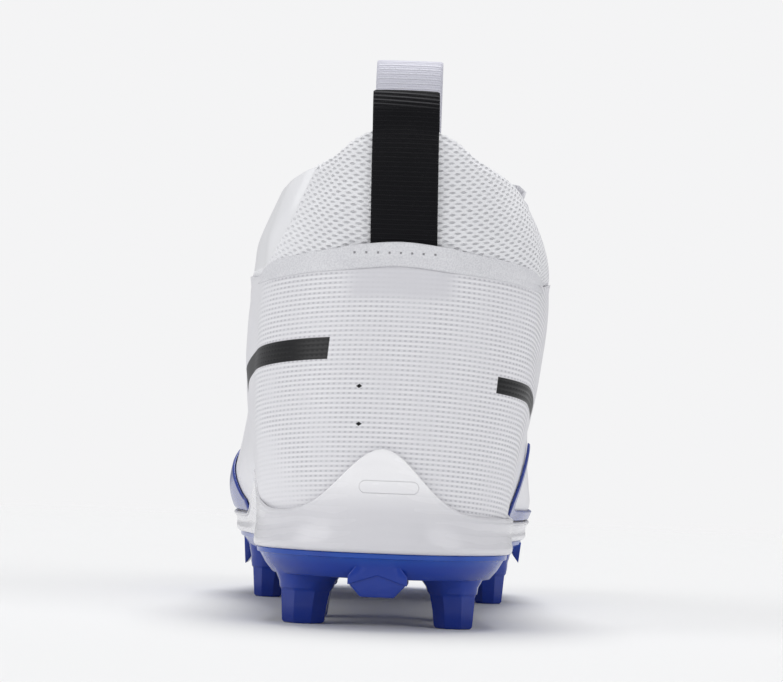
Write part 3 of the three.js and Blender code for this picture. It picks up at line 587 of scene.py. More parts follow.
def upper_profile(at, side):
    top = min(along(FORM_END, "at", at, "level"), along(COLLAR_SEAM, "at", at, "level"))
    fold = rise(at, 90, 8) * (0 if at >= THROAT_FRONT else 1)
    profile = []
    for level in spread(FOOT, top, UPPER_ROWS):
        fade = smooth(level / 0.3) * smooth((top - level) / 0.25 if top < CROWN_END else 1)
        z = section_point(at, side, level)[1]
        # The two sides share the line of the crown, so there the folds of each count half.
        sides = (LATERAL, MEDIAL) if level == CROWN_END else (side, side)
        folds = sum(crease(at, part, z) for part in sides) / 2
        profile.append(form_point(at, side, level, folds * fade + ankle_flare(at, level)))
    for turn in RIM_TURNS:
        angle = radians(turn)
        profile.append(form_point(at, side, top, WALL / 2 * (cos(angle) - 1), fold * 0.8 * sin(angle)))
    profile += [form_point(at, side, level, -WALL) for level in spread(top, FOOT, INNER_ROWS)]
    return [*profile, profile[0]]


def upper_piece():
    """One thin shell, open at the collar, down the throat and underneath."""
    stops = walk_stops(-WALK_END, WALK_END, UPPER_STOPS)
    rim = range(UPPER_ROWS, UPPER_ROWS + len(RIM_TURNS) + 1)

    def skip(i, j):
        return j in rim and stops[i][0] >= THROAT_FRONT and stops[i + 1][0] >= THROAT_FRONT

    return lofted_profiles(stops, upper_profile, cloth_mark, skip=skip, caps=False)


def rolled(share):
    """The drop of the rolled rim, over the last tenth of the collar's height."""
    roll = clamp01((share - 0.9) / 0.1)
    return 1 - sqrt(1 - 0.98 * roll * roll)


def collar_out(at, side, share):
    """How far the collar's face swells over the form, at a share of its height."""
    fade = 1 - rise(at, 13, 10) if side == LATERAL else 1 - rise(at, 58, 20)
    return COLLAR_PUFF * fade * sin(pi * share) ** 0.6 - COLLAR_RIM * rolled(share)


def collar_in(at, share):
    """How far the collar's padded lining lies from the form. Inward is below zero."""
    fade = 1 - rise(at, 62, 26)
    pad = COLLAR_PAD * fade * sin(pi * (0.08 + 0.8 * share)) ** 0.7
    return -WALL - pad + 0.9 * COLLAR_RIM * fade * rolled(share)


def collar_profile(at, side):
    seam = along(COLLAR_SEAM, "at", at + COLLAR_BUTT * GAP, "level") + 0.01
    scallop = SCALLOP * (0.5 + 0.5 * cos(2 * pi * side * at / SCALLOP_PITCH)) ** 0.7
    shares = [1 - (1 - part) ** 1.5 for part in spread(0, 1, COLLAR_ROWS)]
    levels = [seam + (EDGE - seam) * share for share in shares]
    profile = []
    for share, level in zip(shares, levels):
        bead = scallop * rise(share, 0.95, 0.03)
        fold = 0.4 * exp(-(((share - 0.93) / 0.016) ** 2)) * (1 - rise(at, 18, 10))
        out = collar_out(at, side, clamp01(level - SHOULDER)) + bead - fold
        profile.append(form_point(at, side, level, out, 0.6 * bead))
    for level in reversed(levels):
        profile.append(form_point(at, side, level, collar_in(at, clamp01(level - SHOULDER))))
    return [*profile, profile[0]]


def collar_piece():
    """The padded collar, with a rim of small rolled scallops."""
    stops = walk_stops(-COLLAR_FRONT, COLLAR_FRONT, COLLAR_STOPS)
    return lofted_profiles(stops, collar_profile, knit_mark)


def chassis_top(at, side):
    """The height of the tray's edge, with the spur behind the heel."""
    spur = at / HEEL_WALK * pi / 2 * HEEL_CENTRE_Y / SPUR_WIDTH if at <= HEEL_WALK else 4
    return along(CHASSIS_EDGE[side], "at", at, "z") + SPUR_RISE * exp(-spur * spur)


def chassis_lip(at, side):
    """The lip's thickness and its gap to the upper. Both close where the tray climbs the outer side."""
    climb = rise(at, 26, 12) * (1 - rise(at, 80, 50)) if side == LATERAL else 0
    return CHASSIS_LIP * (1 - 0.72 * climb), CHASSIS_REST * (1 - 1.3 * climb)


def chassis_side(at, side, z, top):
    """How far the tray's side stands out at a height, thick at the floor and thin at the lip."""
    share = clamp01((z - CHASSIS_FLOOR) / (top - CHASSIS_FLOOR))
    lip, rest = chassis_lip(at, side)
    return radius_at(at, side, z) + rest + CHASSIS_SIDE + (lip - CHASSIS_SIDE) * share**0.8


def chassis_profile(at, side):
    top = chassis_top(at, side)
    height = top - CHASSIS_FLOOR
    low = chassis_side(at, side, CHASSIS_FLOOR, top)
    profile = [(0, CHASSIS_BOTTOM), (low * 0.5, CHASSIS_BOTTOM), (low - 2.2, CHASSIS_BOTTOM)]
    for turn in (0, 30, 60, 90):
        angle = radians(turn)
        profile.append((low - 1.7 + 1.4 * sin(angle), CHASSIS_BOTTOM + 1.4 * (1 - cos(angle))))
    for share in CHASSIS_SHARES:
        z = CHASSIS_FLOOR + height * share
        waist = 0.35 * sin(pi * clamp01((share - 0.1) / 0.76))
        profile.append((chassis_side(at, side, z, top) - waist, z))
    lip, rest = chassis_lip(at, side)
    lip_in = radius_at(at, side, top) + rest
    lip_z = top - lip * 0.55
    for turn in LIP_TURNS:
        angle = radians(turn)
        profile.append((lip_in + lip * (0.55 + 0.55 * cos(angle)), lip_z + lip * 0.55 * sin(angle)))
    for share in (0.8, 0.5, 0.25, 0):
        z = CHASSIS_FLOOR + height * share
        profile.append((radius_at(at, side, z) + rest, z))
    return [*profile, (low * 0.5, CHASSIS_FLOOR), (0, CHASSIS_FLOOR)]


def chassis_piece():
    """The white tray under the foot, with its rounded lip and the spur behind the heel."""
    stops = walk_stops(-WALK_END, WALK_END, CHASSIS_STOPS)
    return lofted_profiles(stops, chassis_profile, edge_mark, caps=False)


def insole_piece():
    """The sock liner, with its edge turned up against the wall."""
    lines, marks = [], []
    for at, side in walk_stops(-WALK_END, WALK_END, INSOLE_STOPS):
        low = radius_at(at, side, INSOLE_BOTTOM) - WALL - INSOLE_GAP
        high = radius_at(at, side, INSOLE_TOP) - WALL - INSOLE_GAP
        profile = [
            (0, INSOLE_BOTTOM),
            (low * 0.6, INSOLE_BOTTOM),
            (low - 0.5, INSOLE_BOTTOM),
            (low, INSOLE_BOTTOM + 0.5),
            (high, INSOLE_TOP + 0.1),
            (high - 0.7, INSOLE_TOP + 0.6),
            (high - 2.5, INSOLE_TOP + 0.1),
            (high - 6, INSOLE_TOP - 0.7),
            (high * 0.5, INSOLE_TOP - 0.8),
            (0, INSOLE_TOP - 0.8),
        ]
        lines.append([place(at, side, r, z) for r, z in profile])
        marks.append([(spot.x, spot.y) for spot in lines[-1]])
    return lofted(lines, marks, caps=False)


def binding_profile(at, side):
    over_loop = (LOOP_THICK - LOOP_PRESSED + GAP + 0.35) * (1 - rise(at, 10.6, 3.2))
    end = 1 - rise(at, BINDING_END - BINDING_FADE, BINDING_FADE)
    high = SHOULDER + 0.02 + (BINDING_HIGH - SHOULDER - 0.02) * end
    outside, inside = [], []
    for k, level in enumerate(spread(BINDING_LOW, high, BINDING_ROWS)):
        puff = max(0, collar_out(at, side, clamp01(level - SHOULDER))) if level > SHOULDER else 0
        base = GAP + puff + over_loop * rise(level, BINDING_LOW, 0.07)
        thick = BINDING_THICK * (0.1, 0.4, 0.8, 1)[min(k, 3)] * (0.7 if k == BINDING_ROWS else 1)
        outside.append(form_point(at, side, level, base + thick * (0.06 + 0.94 * end)))
        inside.append(form_point(at, side, level, base))
    return [*outside, *reversed(inside), outside[0]]


def binding_piece():
    """The band over the seam at the heel: it covers the collar's foot and the end of the pull loop."""
    stops = walk_stops(-BINDING_END, BINDING_END, BINDING_STOPS)
    return lofted_profiles(stops, binding_profile, cloth_mark)


def full_thickness(at, side, level):
    """The same thickness everywhere."""
    return 1


def panel_thickness(at, side, level):
    """The lateral panel melts into the collar at its rear, and lies thin over the seam below it."""
    if side == MEDIAL:
        return 1
    from_edge = rise(level, panel_band(at, side)[0], 0.3)
    return from_edge if at < 86 else 1 - (1 - from_edge) * rise(-at, -100, 14)


def overlay_piece(stops, band_of, thin_of=full_thickness):
    """A thin sheet that lies on the upper between the two levels that band_of gives."""
    lines, marks = [], []
    for index, (at, side) in enumerate(stops):
        low, high = band_of(at, side)
        nearest = min(index, len(stops) - 1 - index)
        end_fall = (0.5, 0.85, 1)[min(nearest, 2)]
        outside, inside = [], []
        for k, level in enumerate(spread(low, high, SHEET_ROWS)):
            thin = thin_of(at, side, level)
            inner = GAP + 0.05 - 0.6 * (1 - thin)
            edge_fall = min((0.5, 0.88, 1)[min(k, SHEET_ROWS - k, 2)], end_fall)
            outer = max(inner + 0.04, (GAP + OVERLAY * edge_fall) * thin)
            outside.append(form_point(at, side, level, outer))
            inside.append(form_point(at, side, level, inner))
        profile = [*outside, *reversed(inside), outside[0]]
        lines.append([place(at, side, r, z) for r, z in profile])
        marks.append([cloth_mark(at, side, z) for r, z in profile])
    return lofted(lines, marks)


def panel_band(at, side):
    """The levels between which a side panel lies."""
    rows = PANEL_LOW[side]
    above_seam = 0.05 * (1 - rise(at, COLLAR_FRONT, 10)) if side == LATERAL else 0
    return along(rows, "at", at, "level") + above_seam, EDGE - 0.05


def wrap_band(at, side):
    """The levels between which the toe wrap lies, just over the tray's edge."""
    return (
        level_at(at, side, chassis_top(at, side) + 0.9 + along(WRAP[side], "at", at, "lift")),
        level_at(at, side, along(WRAP[side], "at", at, "z")),
    )


def smoothed_path(points):
    """The points joined by a smooth curve, with a few steps from each to the next."""
    curve = []
    for i in range(len(points) - 1):
        p1, p2 = points[i], points[i + 1]
        p0 = points[i - 1] if i else p1 * 2 - p2
        p3 = points[i + 2] if i + 2 < len(points) else p2 * 2 - p1
        for k in range(PATH_STEPS):
            t = k / PATH_STEPS
            bend = (2 * p0 - 5 * p1 + 4 * p2 - p3) * t * t
            curve.append(0.5 * (2 * p1 + (p2 - p0) * t + bend + (3 * p1 - p0 - 3 * p2 + p3) * t**3))
    return [*curve, points[-1]]


def band_faces(path, thick, pressed_foot=0.0):
    """The two faces of a band of webbing, the first on the path and the other one thickness inside."""
    outside, inside = [], []
    for i, point in enumerate(path):
        step = path[min(len(path) - 1, i + 1)] - path[max(0, i - 1)]
        normal = Vector((step.y, -step.x)).normalized()
        pressed = pressed_foot * (1 - smooth(i / 7))
        outside.append(point - normal * pressed)
        inside.append(point - normal * thick)
    return outside, inside


def webbing_ring(outside, inside, edge_drop):
    """One slice of webbing as a closed ring of points, thinned towards the selvedge."""
    middle = [(a + b) / 2 for a, b in zip(outside, inside)]
    top = [m + (a - m) * edge_drop for a, m in zip(outside, middle)]
    low = [m + (b - m) * edge_drop for b, m in zip(inside, middle)]
    return [*top, *reversed(low), top[0]]


def run_marks(ring, across):
    """Marks for a slice of webbing: millimetres across it and along its run."""
    run, marks = 0, []
    for i, point in enumerate(ring):
        run += (point - ring[i - 1]).length if i else 0
        marks.append((across, run))
    return marks


def loop_x(at, z):
    """How far the heel loop lies to one side, as it leans."""
    return lean(at, z) + LOOP_SHIFT - LOOP_TILT * (z - HEEL_LOOP_FOOT)


def heel_loop_piece():
    """The pull loop: up the outside of the collar, over in a free bow, and down inside."""
    half = LOOP_WIDTH / 2 / (HEEL_CENTRE_Y - 1) * HEEL_WALK / (pi / 2)
    lines, marks = [], []
    for row in SELVEDGE:
        walk = row["across"] * half
        at, side = abs(walk), LATERAL if walk < 0 else MEDIAL

        def face(level):
            puff = max(0.4, collar_out(at, side, clamp01(level - SHOULDER)))
            return Vector(form_point(at, side, level, puff + GAP + LOOP_THICK + LOOP_CLEAR))

        def lining_face(level):
            pad = collar_in(at, level - SHOULDER)
            return Vector(form_point(at, side, level, pad - GAP - LOOP_THICK - LOOP_CLEAR))

        up = [face(level) for level in spread(level_at(at, side, HEEL_LOOP_FOOT + 1), 2.96, 9)]
        r, z = up[-1]
        free = [Vector((r - f["back"], z + (HEEL_LOOP_TOP - z) * f["share"])) for f in LOOP_FREE]
        down = [lining_face(level) for level in (2.88, 2.76, 2.64)]
        outside, inside = band_faces(smoothed_path([*up, *free, *down]), LOOP_THICK, LOOP_PRESSED)
        across = row["across"] * LOOP_WIDTH / 2
        placed = []
        for p in webbing_ring(outside, inside, row["thickness"]):
            y = HEEL_CENTRE_Y - sqrt(p.x * p.x - across * across)
            placed.append(Vector((across + loop_x(at, p.y), y, p.y)))
        lines.append(placed)
        marks.append(run_marks(placed, across))
    return lofted(lines, marks)


def tongue_frame(y):
    """The tongue's sizes at a station, the direction out of its face, and its middle."""
    value = {name: along(TONGUE, "y", y, name) for name in ("z", "half", "drop", "thick")}
    reach = -1 if y > 190 else 1
    slope = (along(TONGUE, "y", y + reach, "z") - value["z"]) / reach
    size = hypot(1, slope)
    x = station(HEEL_WALK + y - HEEL_CENTRE_Y, MEDIAL)[0] + 0.6
    return value, Vector((0, -slope / size, 1 / size)), x


def tongue_piece():
    """The padded tongue as rings round its section, with rounded sides and a rolled free top."""
    lines, marks = [], []
    stops = [TONGUE_TOP_Y, 86.9, 87.8, 89.2, *spread(91, 190, 44), 193, 196]
    shares = spread(-1, 1, 28)
    for y in stops:
        value, normal, x = tongue_frame(y)
        roll = sqrt(clamp01(1 - (1 - clamp01((y - TONGUE_TOP_Y) / TONGUE_ROLL)) ** 2))
        ring = []
        for face in (1, -1):
            for part in shares if face == 1 else reversed(shares):
                thick = value["thick"] * (1 - 0.62 * part**4)
                round_side = sqrt(clamp01(1 - part**16))
                deep = thick / 2 - face * thick / 2 * round_side * (0.25 + 0.75 * roll)
                quilt = 0.35 * exp(-(((abs(part) - 0.62) / 0.05) ** 2)) if face == 1 else 0
                deep += value["drop"] * part * part + quilt * rise(y, 92, 6)
                ring.append(Vector((x + value["half"] * part, y, value["z"])) - normal * deep)
        ring.append(ring[0])
        lines.append(ring)
        marks.append([(p.x, y) for p in ring])
    return lofted(lines, marks)


def tongue_loop_piece():
    """The pull loop of the tongue, sewn to its face and to its back."""

    def off_tongue(y, deep):
        value, normal, _ = tongue_frame(y)
        return Vector((y, value["z"])) - Vector((normal.y, normal.z)) * deep

    front = [off_tongue(y, -GAP - LOOP_THICK) for y in (96, 93, 90)]
    y, z = front[-1]
    free = []
    for f in LOOP_FREE:
        ahead = y - f["back"] * TONGUE_LOOP_OPEN - 2.4 * min(1, f["share"] / 0.6)
        free.append(Vector((ahead, z + (TONGUE_LOOP_TOP - z) * f["share"])))
    back = [off_tongue(y, tongue_frame(y)[0]["thick"] + TONGUE_ARCH + GAP + LOOP_THICK) for y in (88.4, 92)]
    outside, inside = band_faces(smoothed_path([*front, *free, *back]), LOOP_THICK)
    x = tongue_frame(90)[2] + TONGUE_LOOP_X
    lines, marks = [], []
    for row in SELVEDGE:
        ring = webbing_ring(outside, inside, row["thickness"])
        placed = [Vector((x + row["across"] * TONGUE_LOOP_WIDTH / 2, p.x, p.y)) for p in ring]
        lines.append(placed)
        marks.append(run_marks(placed, row["across"] * TONGUE_LOOP_WIDTH / 2))
    return lofted(lines, marks)


def over_form(at, side, level, out):
    """The point at a distance outside the form."""
    return place(at, side, *form_point(at, side, level, out))


def lace_bar(first, last, extra):
    """One run of flat lace from a lateral eyelet over the tongue to a medial one."""
    out = GAP + OVERLAY + GAP + 0.5

    def on_form(step, shift):
        walk = first + (last - first) * step["share"] + shift
        up = out + step["lift"] + (extra if 0.2 < step["share"] < 0.8 else 0)
        if step["share"] != 0.5:
            return over_form(walk, LATERAL if step["share"] < 0.5 else MEDIAL, step["level"], up)
        middle = over_form(walk, LATERAL, step["level"], up) + over_form(walk, MEDIAL, step["level"], up)
        return middle / 2 + Vector((0, 0, 1.5))

    centre, ahead, behind = (
        smoothed_path([on_form(step, shift) for step in LACE_STEPS]) for shift in (0, 4, -4)
    )
    lines, marks, run = [], [], 0
    for i, point in enumerate(centre):
        tangent = (centre[min(len(centre) - 1, i + 1)] - centre[max(0, i - 1)]).normalized()
        wide = ahead[i] - behind[i]
        wide = (wide - tangent * wide.dot(tangent)).normalized()
        normal = tangent.cross(wide).normalized()
        end = min(1, i / 3, (len(centre) - 1 - i) / 3)
        half = LACE_WIDTH / 2 * (0.62 + 0.38 * end)
        ring = []
        for turn in range(0, 360, LACE_TURN):
            angle = radians(turn)
            flat = cos(angle) * (1 if abs(cos(angle)) > 0.5 else 1.15)
            off = wide * half * max(-1, min(1, flat))
            ring.append(point + off + normal * (LACE_THICK / 2 * (1 + sin(angle))))
        ring.append(ring[0])
        lines.append(ring)
        run += (point - centre[i - 1]).length if i else 0
        marks.append([(LACE_WIDTH / 2 * cos(radians(k * LACE_TURN)), run) for k in range(len(ring))])
    return lofted(lines, marks)


def joined(parts):
    """Several bmeshes as one."""
    whole = bmesh.new()
    whole.loops.layers.uv.new("cloth")
    for part in parts:
        scratch = bpy.data.meshes.new("scratch")
        part.to_mesh(scratch)
        part.free()
        whole.from_mesh(scratch)
        bpy.data.meshes.remove(scratch)
    return whole


def laces_piece():
    """Two bars cross between each pair of eyelets and the next, and one lies straight at the top."""
    pairs = list(zip(EYELETS[:-1], EYELETS[1:]))
    bars = [lace_bar(a, b, 0) for a, b in pairs] + [lace_bar(b, a, 1) for a, b in pairs]
    return joined([*bars, lace_bar(EYELETS[-1], EYELETS[-1], 0)])


def eyelet_rim(at, side):
    """A small raised ring on the sheet beside the throat, round the place where the lace goes in."""
    centre = over_form(at, side, EYELET_LEVEL, GAP + OVERLAY)
    ahead = (over_form(at + 1, side, EYELET_LEVEL, GAP + OVERLAY) - centre).normalized()
    above = over_form(at, side, EYELET_LEVEL + 0.03, GAP + OVERLAY) - centre
    above = (above - ahead * above.dot(ahead)).normalized()
    normal = ahead.cross(above)
    lines, marks = [], []
    for turn in spread(0, 2 * pi, 32):
        outward = ahead * cos(turn) + above * sin(turn)
        middle = centre + outward * EYELET_RADIUS
        around = spread(0, 2 * pi, 10)
        lines.append([middle + (outward * cos(a) + normal * sin(a)) * EYELET_TUBE for a in around])
        marks.append([(turn, a) for a in around])
    return lofted(lines, marks, caps=False)


def eyelets_piece():
    """The rims of all the eyelets as one piece."""
    return joined([eyelet_rim(at, side) for at in EYELETS for side in (LATERAL, MEDIAL)])


def plate_profile(at, side):
    _, y0, _, dy = station(at, side)
    edge = radius_at(at, side, CHASSIS_FLOOR) + GAP + CHASSIS_SIDE - PLATE_INSET - 0.3
    low = along(PLATE_BOTTOM, "y", y0 + dy * edge, "z")
    middle = along(PLATE_BOTTOM, "y", y0, "z")
    slope = 4.2 * (PLATE_TOP - low) / 6.6
    return [
        (0, middle),
        (edge * 0.45, middle + (low - middle) * 0.4 + 0.5),
        (edge - slope - 3, low + 0.15),
        (edge - slope - 0.5, low),
        (edge - slope, low + 0.2),
        (edge - slope * 0.55, low + (PLATE_TOP - 1.9 - low) * 0.5),
        (edge - 1.1, PLATE_TOP - 2.0),
        (edge - 0.95, PLATE_TOP - 1.75),
        (edge - 0.25, PLATE_TOP - 1.6),
        (edge - 0.05, PLATE_TOP - 1.4),
        (edge, PLATE_TOP - 0.2),
        (edge - 0.2, PLATE_TOP),
        (edge * 0.5, PLATE_TOP),
        (0, PLATE_TOP),
    ]


def plate_piece():
    """The blue plate with its stepped edge, thicker under the heel."""
    stops = walk_stops(-WALK_END, WALK_END, UPPER_STOPS)
    return lofted_profiles(stops, plate_profile, edge_mark, caps=False)


def stud_part(row):
    """A stud: an eight sided post below, and a round flare above that runs out into the plate."""
    x, y, base_r, tip_r, out, tip_z = row.values()
    top = PLATE_TOP + toe_spring(y) - 0.8
    height = top - tip_z
    waist = tip_r + 1.1
    steps = table(
        "share radius facet",
        (0, tip_r - 0.9, 1),
        (0.012, tip_r - 0.45, 1),
        (0.04, tip_r, 1),
        (0.25, tip_r + 0.45, 1),
        (0.44, waist - 0.1, 1),
        (0.47, waist + 0.1, 0.8),
        (0.49, waist + 0.55, 0.6),
        (0.58, waist + 1, 0.3),
        (0.68, waist + 0.3 + (base_r - waist) * 0.34, 0.1),
        (0.76, waist + 0.4 + (base_r - waist) * 0.52, 0),
        (0.84, waist + 0.3 + (base_r - waist) * 0.73, 0),
        (0.92, waist + (base_r - waist) * 0.93, 0),
        (1, base_r + 0.8, 0),
    )
    inward = -1 if x > 0 else 1 if x < 0 else 0
    lines, marks = [], []
    for step in steps:
        ring = []
        for k in range(STUD_STOPS + 1):
            angle = 2 * pi * (k % STUD_STOPS) / STUD_STOPS
            slot = (angle + pi / STUD_SIDES) % (2 * pi / STUD_SIDES) - pi / STUD_SIDES
            facet = 1 / cos(slot) * cos(pi / STUD_SIDES) * 1.04
            radius = step["radius"] * (1 + (facet - 1) * step["facet"])
            shift_x = inward * out * step["share"] ** 2
            shift_y = 0.6 * step["share"]
            z = tip_z + height * step["share"]
            ring.append(Vector((x + radius * cos(angle) + shift_x, y + radius * sin(angle) + shift_y, z)))
        lines.append(ring)
        marks.append([(p.x, p.z) for p in ring])
    return lofted(lines, marks)


def bar_part(outline, depth, x, y, bevel):
    """An outline in the plane across the shoe, extruded along it, with softened edges."""
    bm = bmesh.new()
    bm.loops.layers.uv.new("cloth")
    corners = [bm.verts.new(in_frame((x + u, y - depth / 2, v))) for u, v in outline]
    made = bmesh.ops.extrude_face_region(bm, geom=[bm.faces.new(corners)])
    moved = [g for g in made["geom"] if isinstance(g, bmesh.types.BMVert)]
    bmesh.ops.translate(bm, verts=moved, vec=(0, depth * MM, 0))
    bmesh.ops.recalc_face_normals(bm, faces=bm.faces)
    edges = list(bm.edges)
    bmesh.ops.bevel(bm, geom=edges, offset=bevel * MM, affect="EDGES", segments=3, profile=0.5, material=-1)
    return bm


def blade_part(row):
    """A short upright blade near the edge of the forefoot."""
    side, tip, top = row["side"], row["tip_z"], PLATE_TOP - 0.8
    outline = [(-3.4 * side, top), (-1.8 * side, tip + 3), (0.4 * side, tip), (1.2 * side, top)]
    return bar_part(outline, row["length"], row["x"], row["y"], 0.25)


def chevron_lug_parts():
    """The lug under the middle of the heel's back edge, with a pointed step across it."""
    lug = [*LUG_HALF, *((-u, v) for u, v in reversed(LUG_HALF))]
    return [bar_part(lug, 17, 0, LUG_Y, 0.6), bar_part(LUG_ROOF, 18.2, 0, LUG_Y, 0.35)]


def web_parts():
    """The curved web across the heel between the rear studs, and the gussets beside the heel studs."""
    curve = [(part * WEB_HALF, WEB_FOOT - WEB_RISE * abs(part) ** 3) for part in spread(-1, 1, 16)]
    parts = [bar_part([*curve, (WEB_HALF, WEB_TOP), (-WEB_HALF, WEB_TOP)], 4, 0, WEB_Y, 0.5)]
    for stud in STUDS[:HEEL_STUDS]:
        inward = -1 if stud["x"] > 0 else 1
        outline = [(inward * u, v) for u, v in GUSSET]
        parts.append(bar_part(outline, 3.2, stud["x"], stud["y"] + 2.5, 0.5))
    return parts


def united(parts, name):
    """The parts made one closed solid by boolean union, the same at each run."""
    whole = None
    for index, part in enumerate(parts):
        mesh = bpy.data.meshes.new(f"{name}_{index}")
        part.to_mesh(mesh)
        part.free()
        thing = bpy.data.objects.new(mesh.name, mesh)
        bpy.context.scene.collection.objects.link(thing)
        if whole is None:
            whole = thing
            continue
        union = whole.modifiers.new("union", "BOOLEAN")
        union.operation = "UNION"
        union.solver = "MANIFOLD"
        union.object = thing
        bpy.context.view_layer.update()
        graph = bpy.context.evaluated_depsgraph_get()
        made = bpy.data.meshes.new_from_object(whole.evaluated_get(graph))
        whole.modifiers.clear()
        whole.data = made
        bpy.data.objects.remove(thing)
    bm = bmesh.new()
    bm.from_mesh(whole.data)
    bpy.data.objects.remove(whole)
    return bm


# Materials. Marks on the cloth are in millimetres, so the patterns below are in millimetres too.


class Number:
    """A number that changes over the surface, worked out by Math nodes."""

    def __init__(self, tree, socket):
        self.tree = tree
        self.socket = socket

    def calc(self, operation, *others):
        node = self.tree.nodes.new("ShaderNodeMath")
        node.operation = operation
        for slot, value in zip(node.inputs, (self, *others)):
            if isinstance(value, Number):
                self.tree.links.new(value.socket, slot)
            else:
                slot.default_value = value
        return Number(self.tree, node.outputs[0])

    def __add__(self, other):
        return self.calc("ADD", other)

    def __sub__(self, other):
        return self.calc("SUBTRACT", other)

    def __mul__(self, other):
        return self.calc("MULTIPLY", other)

    def wave(self, pitch, shift=0.0):
        """A cosine of this number, from minus one to one, once every pitch."""
        return (self * (2 * pi / pitch) + 2 * pi * shift).calc("COSINE")

    def ramp(self, low, high):
        """Nought below low, one above high, and smooth between."""
        node = self.tree.nodes.new("ShaderNodeMapRange")
        node.interpolation_type = "SMOOTHSTEP"
        self.tree.links.new(self.socket, node.inputs["Value"])
        turned = low > high
        node.inputs["From Min"].default_value = min(low, high)
        node.inputs["From Max"].default_value = max(low, high)
        node.inputs["To Min"].default_value = 1 if turned else 0
        node.inputs["To Max"].default_value = 0 if turned else 1
        return Number(self.tree, node.outputs["Result"])


class Finish:
    """A material in the making: its shader, its cloth marks and its place on the shoe."""

    def __init__(self, name, colour, roughness, **settings):
        self.material = bpy.data.materials.new(name)
        self.material.use_nodes = True
        self.tree = self.material.node_tree
        self.shader = self.tree.nodes["Principled BSDF"]
        self.shader.inputs["Base Color"].default_value = (*colour, 1)
        self.shader.inputs["Roughness"].default_value = roughness
        for slot, value in settings.items():
            self.shader.inputs[slot.replace("_", " ")].default_value = value

    def link(self, source, target):
        self.tree.links.new(source, target)

    def cloth(self):
        """The two marks of a point on its cloth, in millimetres."""
        marks = self.tree.nodes.new("ShaderNodeUVMap")
        marks.uv_map = "cloth"
        split = self.tree.nodes.new("ShaderNodeSeparateXYZ")
        self.link(marks.outputs[0], split.inputs[0])
        return Number(self.tree, split.outputs[0]), Number(self.tree, split.outputs[1])

    def spot(self):
        """The place on the shoe, in millimetres from the origin of the shared frame."""
        where = self.tree.nodes.new("ShaderNodeTexCoord")
        split = self.tree.nodes.new("ShaderNodeSeparateXYZ")
        self.link(where.outputs["Object"], split.inputs[0])
        return [Number(self.tree, socket) * 1000 for socket in split.outputs]

    def grain(self, size):
        """Fine grain of a size in millimetres, and the broad variation that goes with it."""
        node = self.tree.nodes.new("ShaderNodeGroup")
        node.node_tree = grain_group()
        node.inputs["Size"].default_value = size
        return Number(self.tree, node.outputs["Fine"]), Number(self.tree, node.outputs["Broad"])

    def mix(self, amount, first, second):
        """A colour between two others, which are plain colours or the outcome of an earlier mix."""
        node = self.tree.nodes.new("ShaderNodeMix")
        node.data_type = "RGBA"
        self.link(amount.socket, node.inputs["Factor"])
        for slot, value in ((node.inputs["A"], first), (node.inputs["B"], second)):
            if isinstance(value, tuple):
                slot.default_value = (*value, 1)
            else:
                self.link(value, slot)
        return node.outputs["Result"]

    def colour(self, socket):
        self.link(socket, self.shader.inputs["Base Color"])

    def roughness(self, number):
        self.link(number.socket, self.shader.inputs["Roughness"])

    def bump(self, height, depth):
        """Raises the surface by a height from nought to one, times a depth in millimetres."""
        node = self.tree.nodes.new("ShaderNodeBump")
        node.inputs["Distance"].default_value = depth * MM
        self.link(height.socket, node.inputs["Height"])
        self.link(node.outputs["Normal"], self.shader.inputs["Normal"])


@lru_cache(maxsize=None)
def grain_group():
    """Fine grain and broad, slow variation, from the place on the shoe. Size is the grain's, in mm."""
    group = bpy.data.node_groups.new("grain", "ShaderNodeTree")
    size = group.interface.new_socket("Size", in_out="INPUT", socket_type="NodeSocketFloat")
    size.default_value = 1
    for name in ("Fine", "Broad"):
        group.interface.new_socket(name, in_out="OUTPUT", socket_type="NodeSocketFloat")
    inside = group.nodes.new("NodeGroupInput")
    outside = group.nodes.new("NodeGroupOutput")
    where = group.nodes.new("ShaderNodeTexCoord")
    scale = group.nodes.new("ShaderNodeMath")
    scale.operation = "DIVIDE"
    scale.inputs[0].default_value = 1000
    group.links.new(inside.outputs["Size"], scale.inputs[1])
    for name, share, detail in (("Fine", 1.0, 3), ("Broad", 0.04, 2)):
        times = group.nodes.new("ShaderNodeMath")
        times.operation = "MULTIPLY"
        times.inputs[1].default_value = share
        group.links.new(scale.outputs[0], times.inputs[0])
        noise = group.nodes.new("ShaderNodeTexNoise")
        noise.inputs["Detail"].default_value = detail
        group.links.new(where.outputs["Object"], noise.inputs["Vector"])
        group.links.new(times.outputs[0], noise.inputs["Scale"])
        group.links.new(noise.outputs["Fac"], outside.inputs[name])
    return group


WHITE = (0.80, 0.795, 0.83)
SOFT_WHITE = (0.72, 0.715, 0.745)
DASH_GREY = (0.50, 0.495, 0.53)
KNIT_SHADOW = (0.40, 0.40, 0.43)
ROYAL = (0.005, 0.038, 0.32)
ROYAL_SHADE = (0.0025, 0.019, 0.20)
ROYAL_LIT = (0.009, 0.070, 0.40)
BLACK = (0.0028, 0.0028, 0.0040)
BLACK_SOFT = (0.012, 0.012, 0.014)
LAVENDER = (0.80, 0.80, 0.88)
LINING = (0.62, 0.63, 0.66)

# The pitches of the textile's rows and dashes, of the knit's openings and of the needle holes.
RIB_PITCH = 1.45
DASH_PITCH = 1.18
KNIT_PITCH = 2.7
KNIT_ROW = 1.12
STITCH_PITCH = 2.4
STITCH_HEIGHT = 112.4

# Where the rows turn across the vamp, and the height above which lighter bands cross the heel loop's fold.
VAMP_START = -42
VAMP_FULL = -12
FOLD_Z = 155.5

# The plain raised bar on the spur behind the heel.
SPUR_X = 9
SPUR_BAR_HALF = 7
SPUR_BAR_Z = 42.6
SPUR_BAR_Y = -110

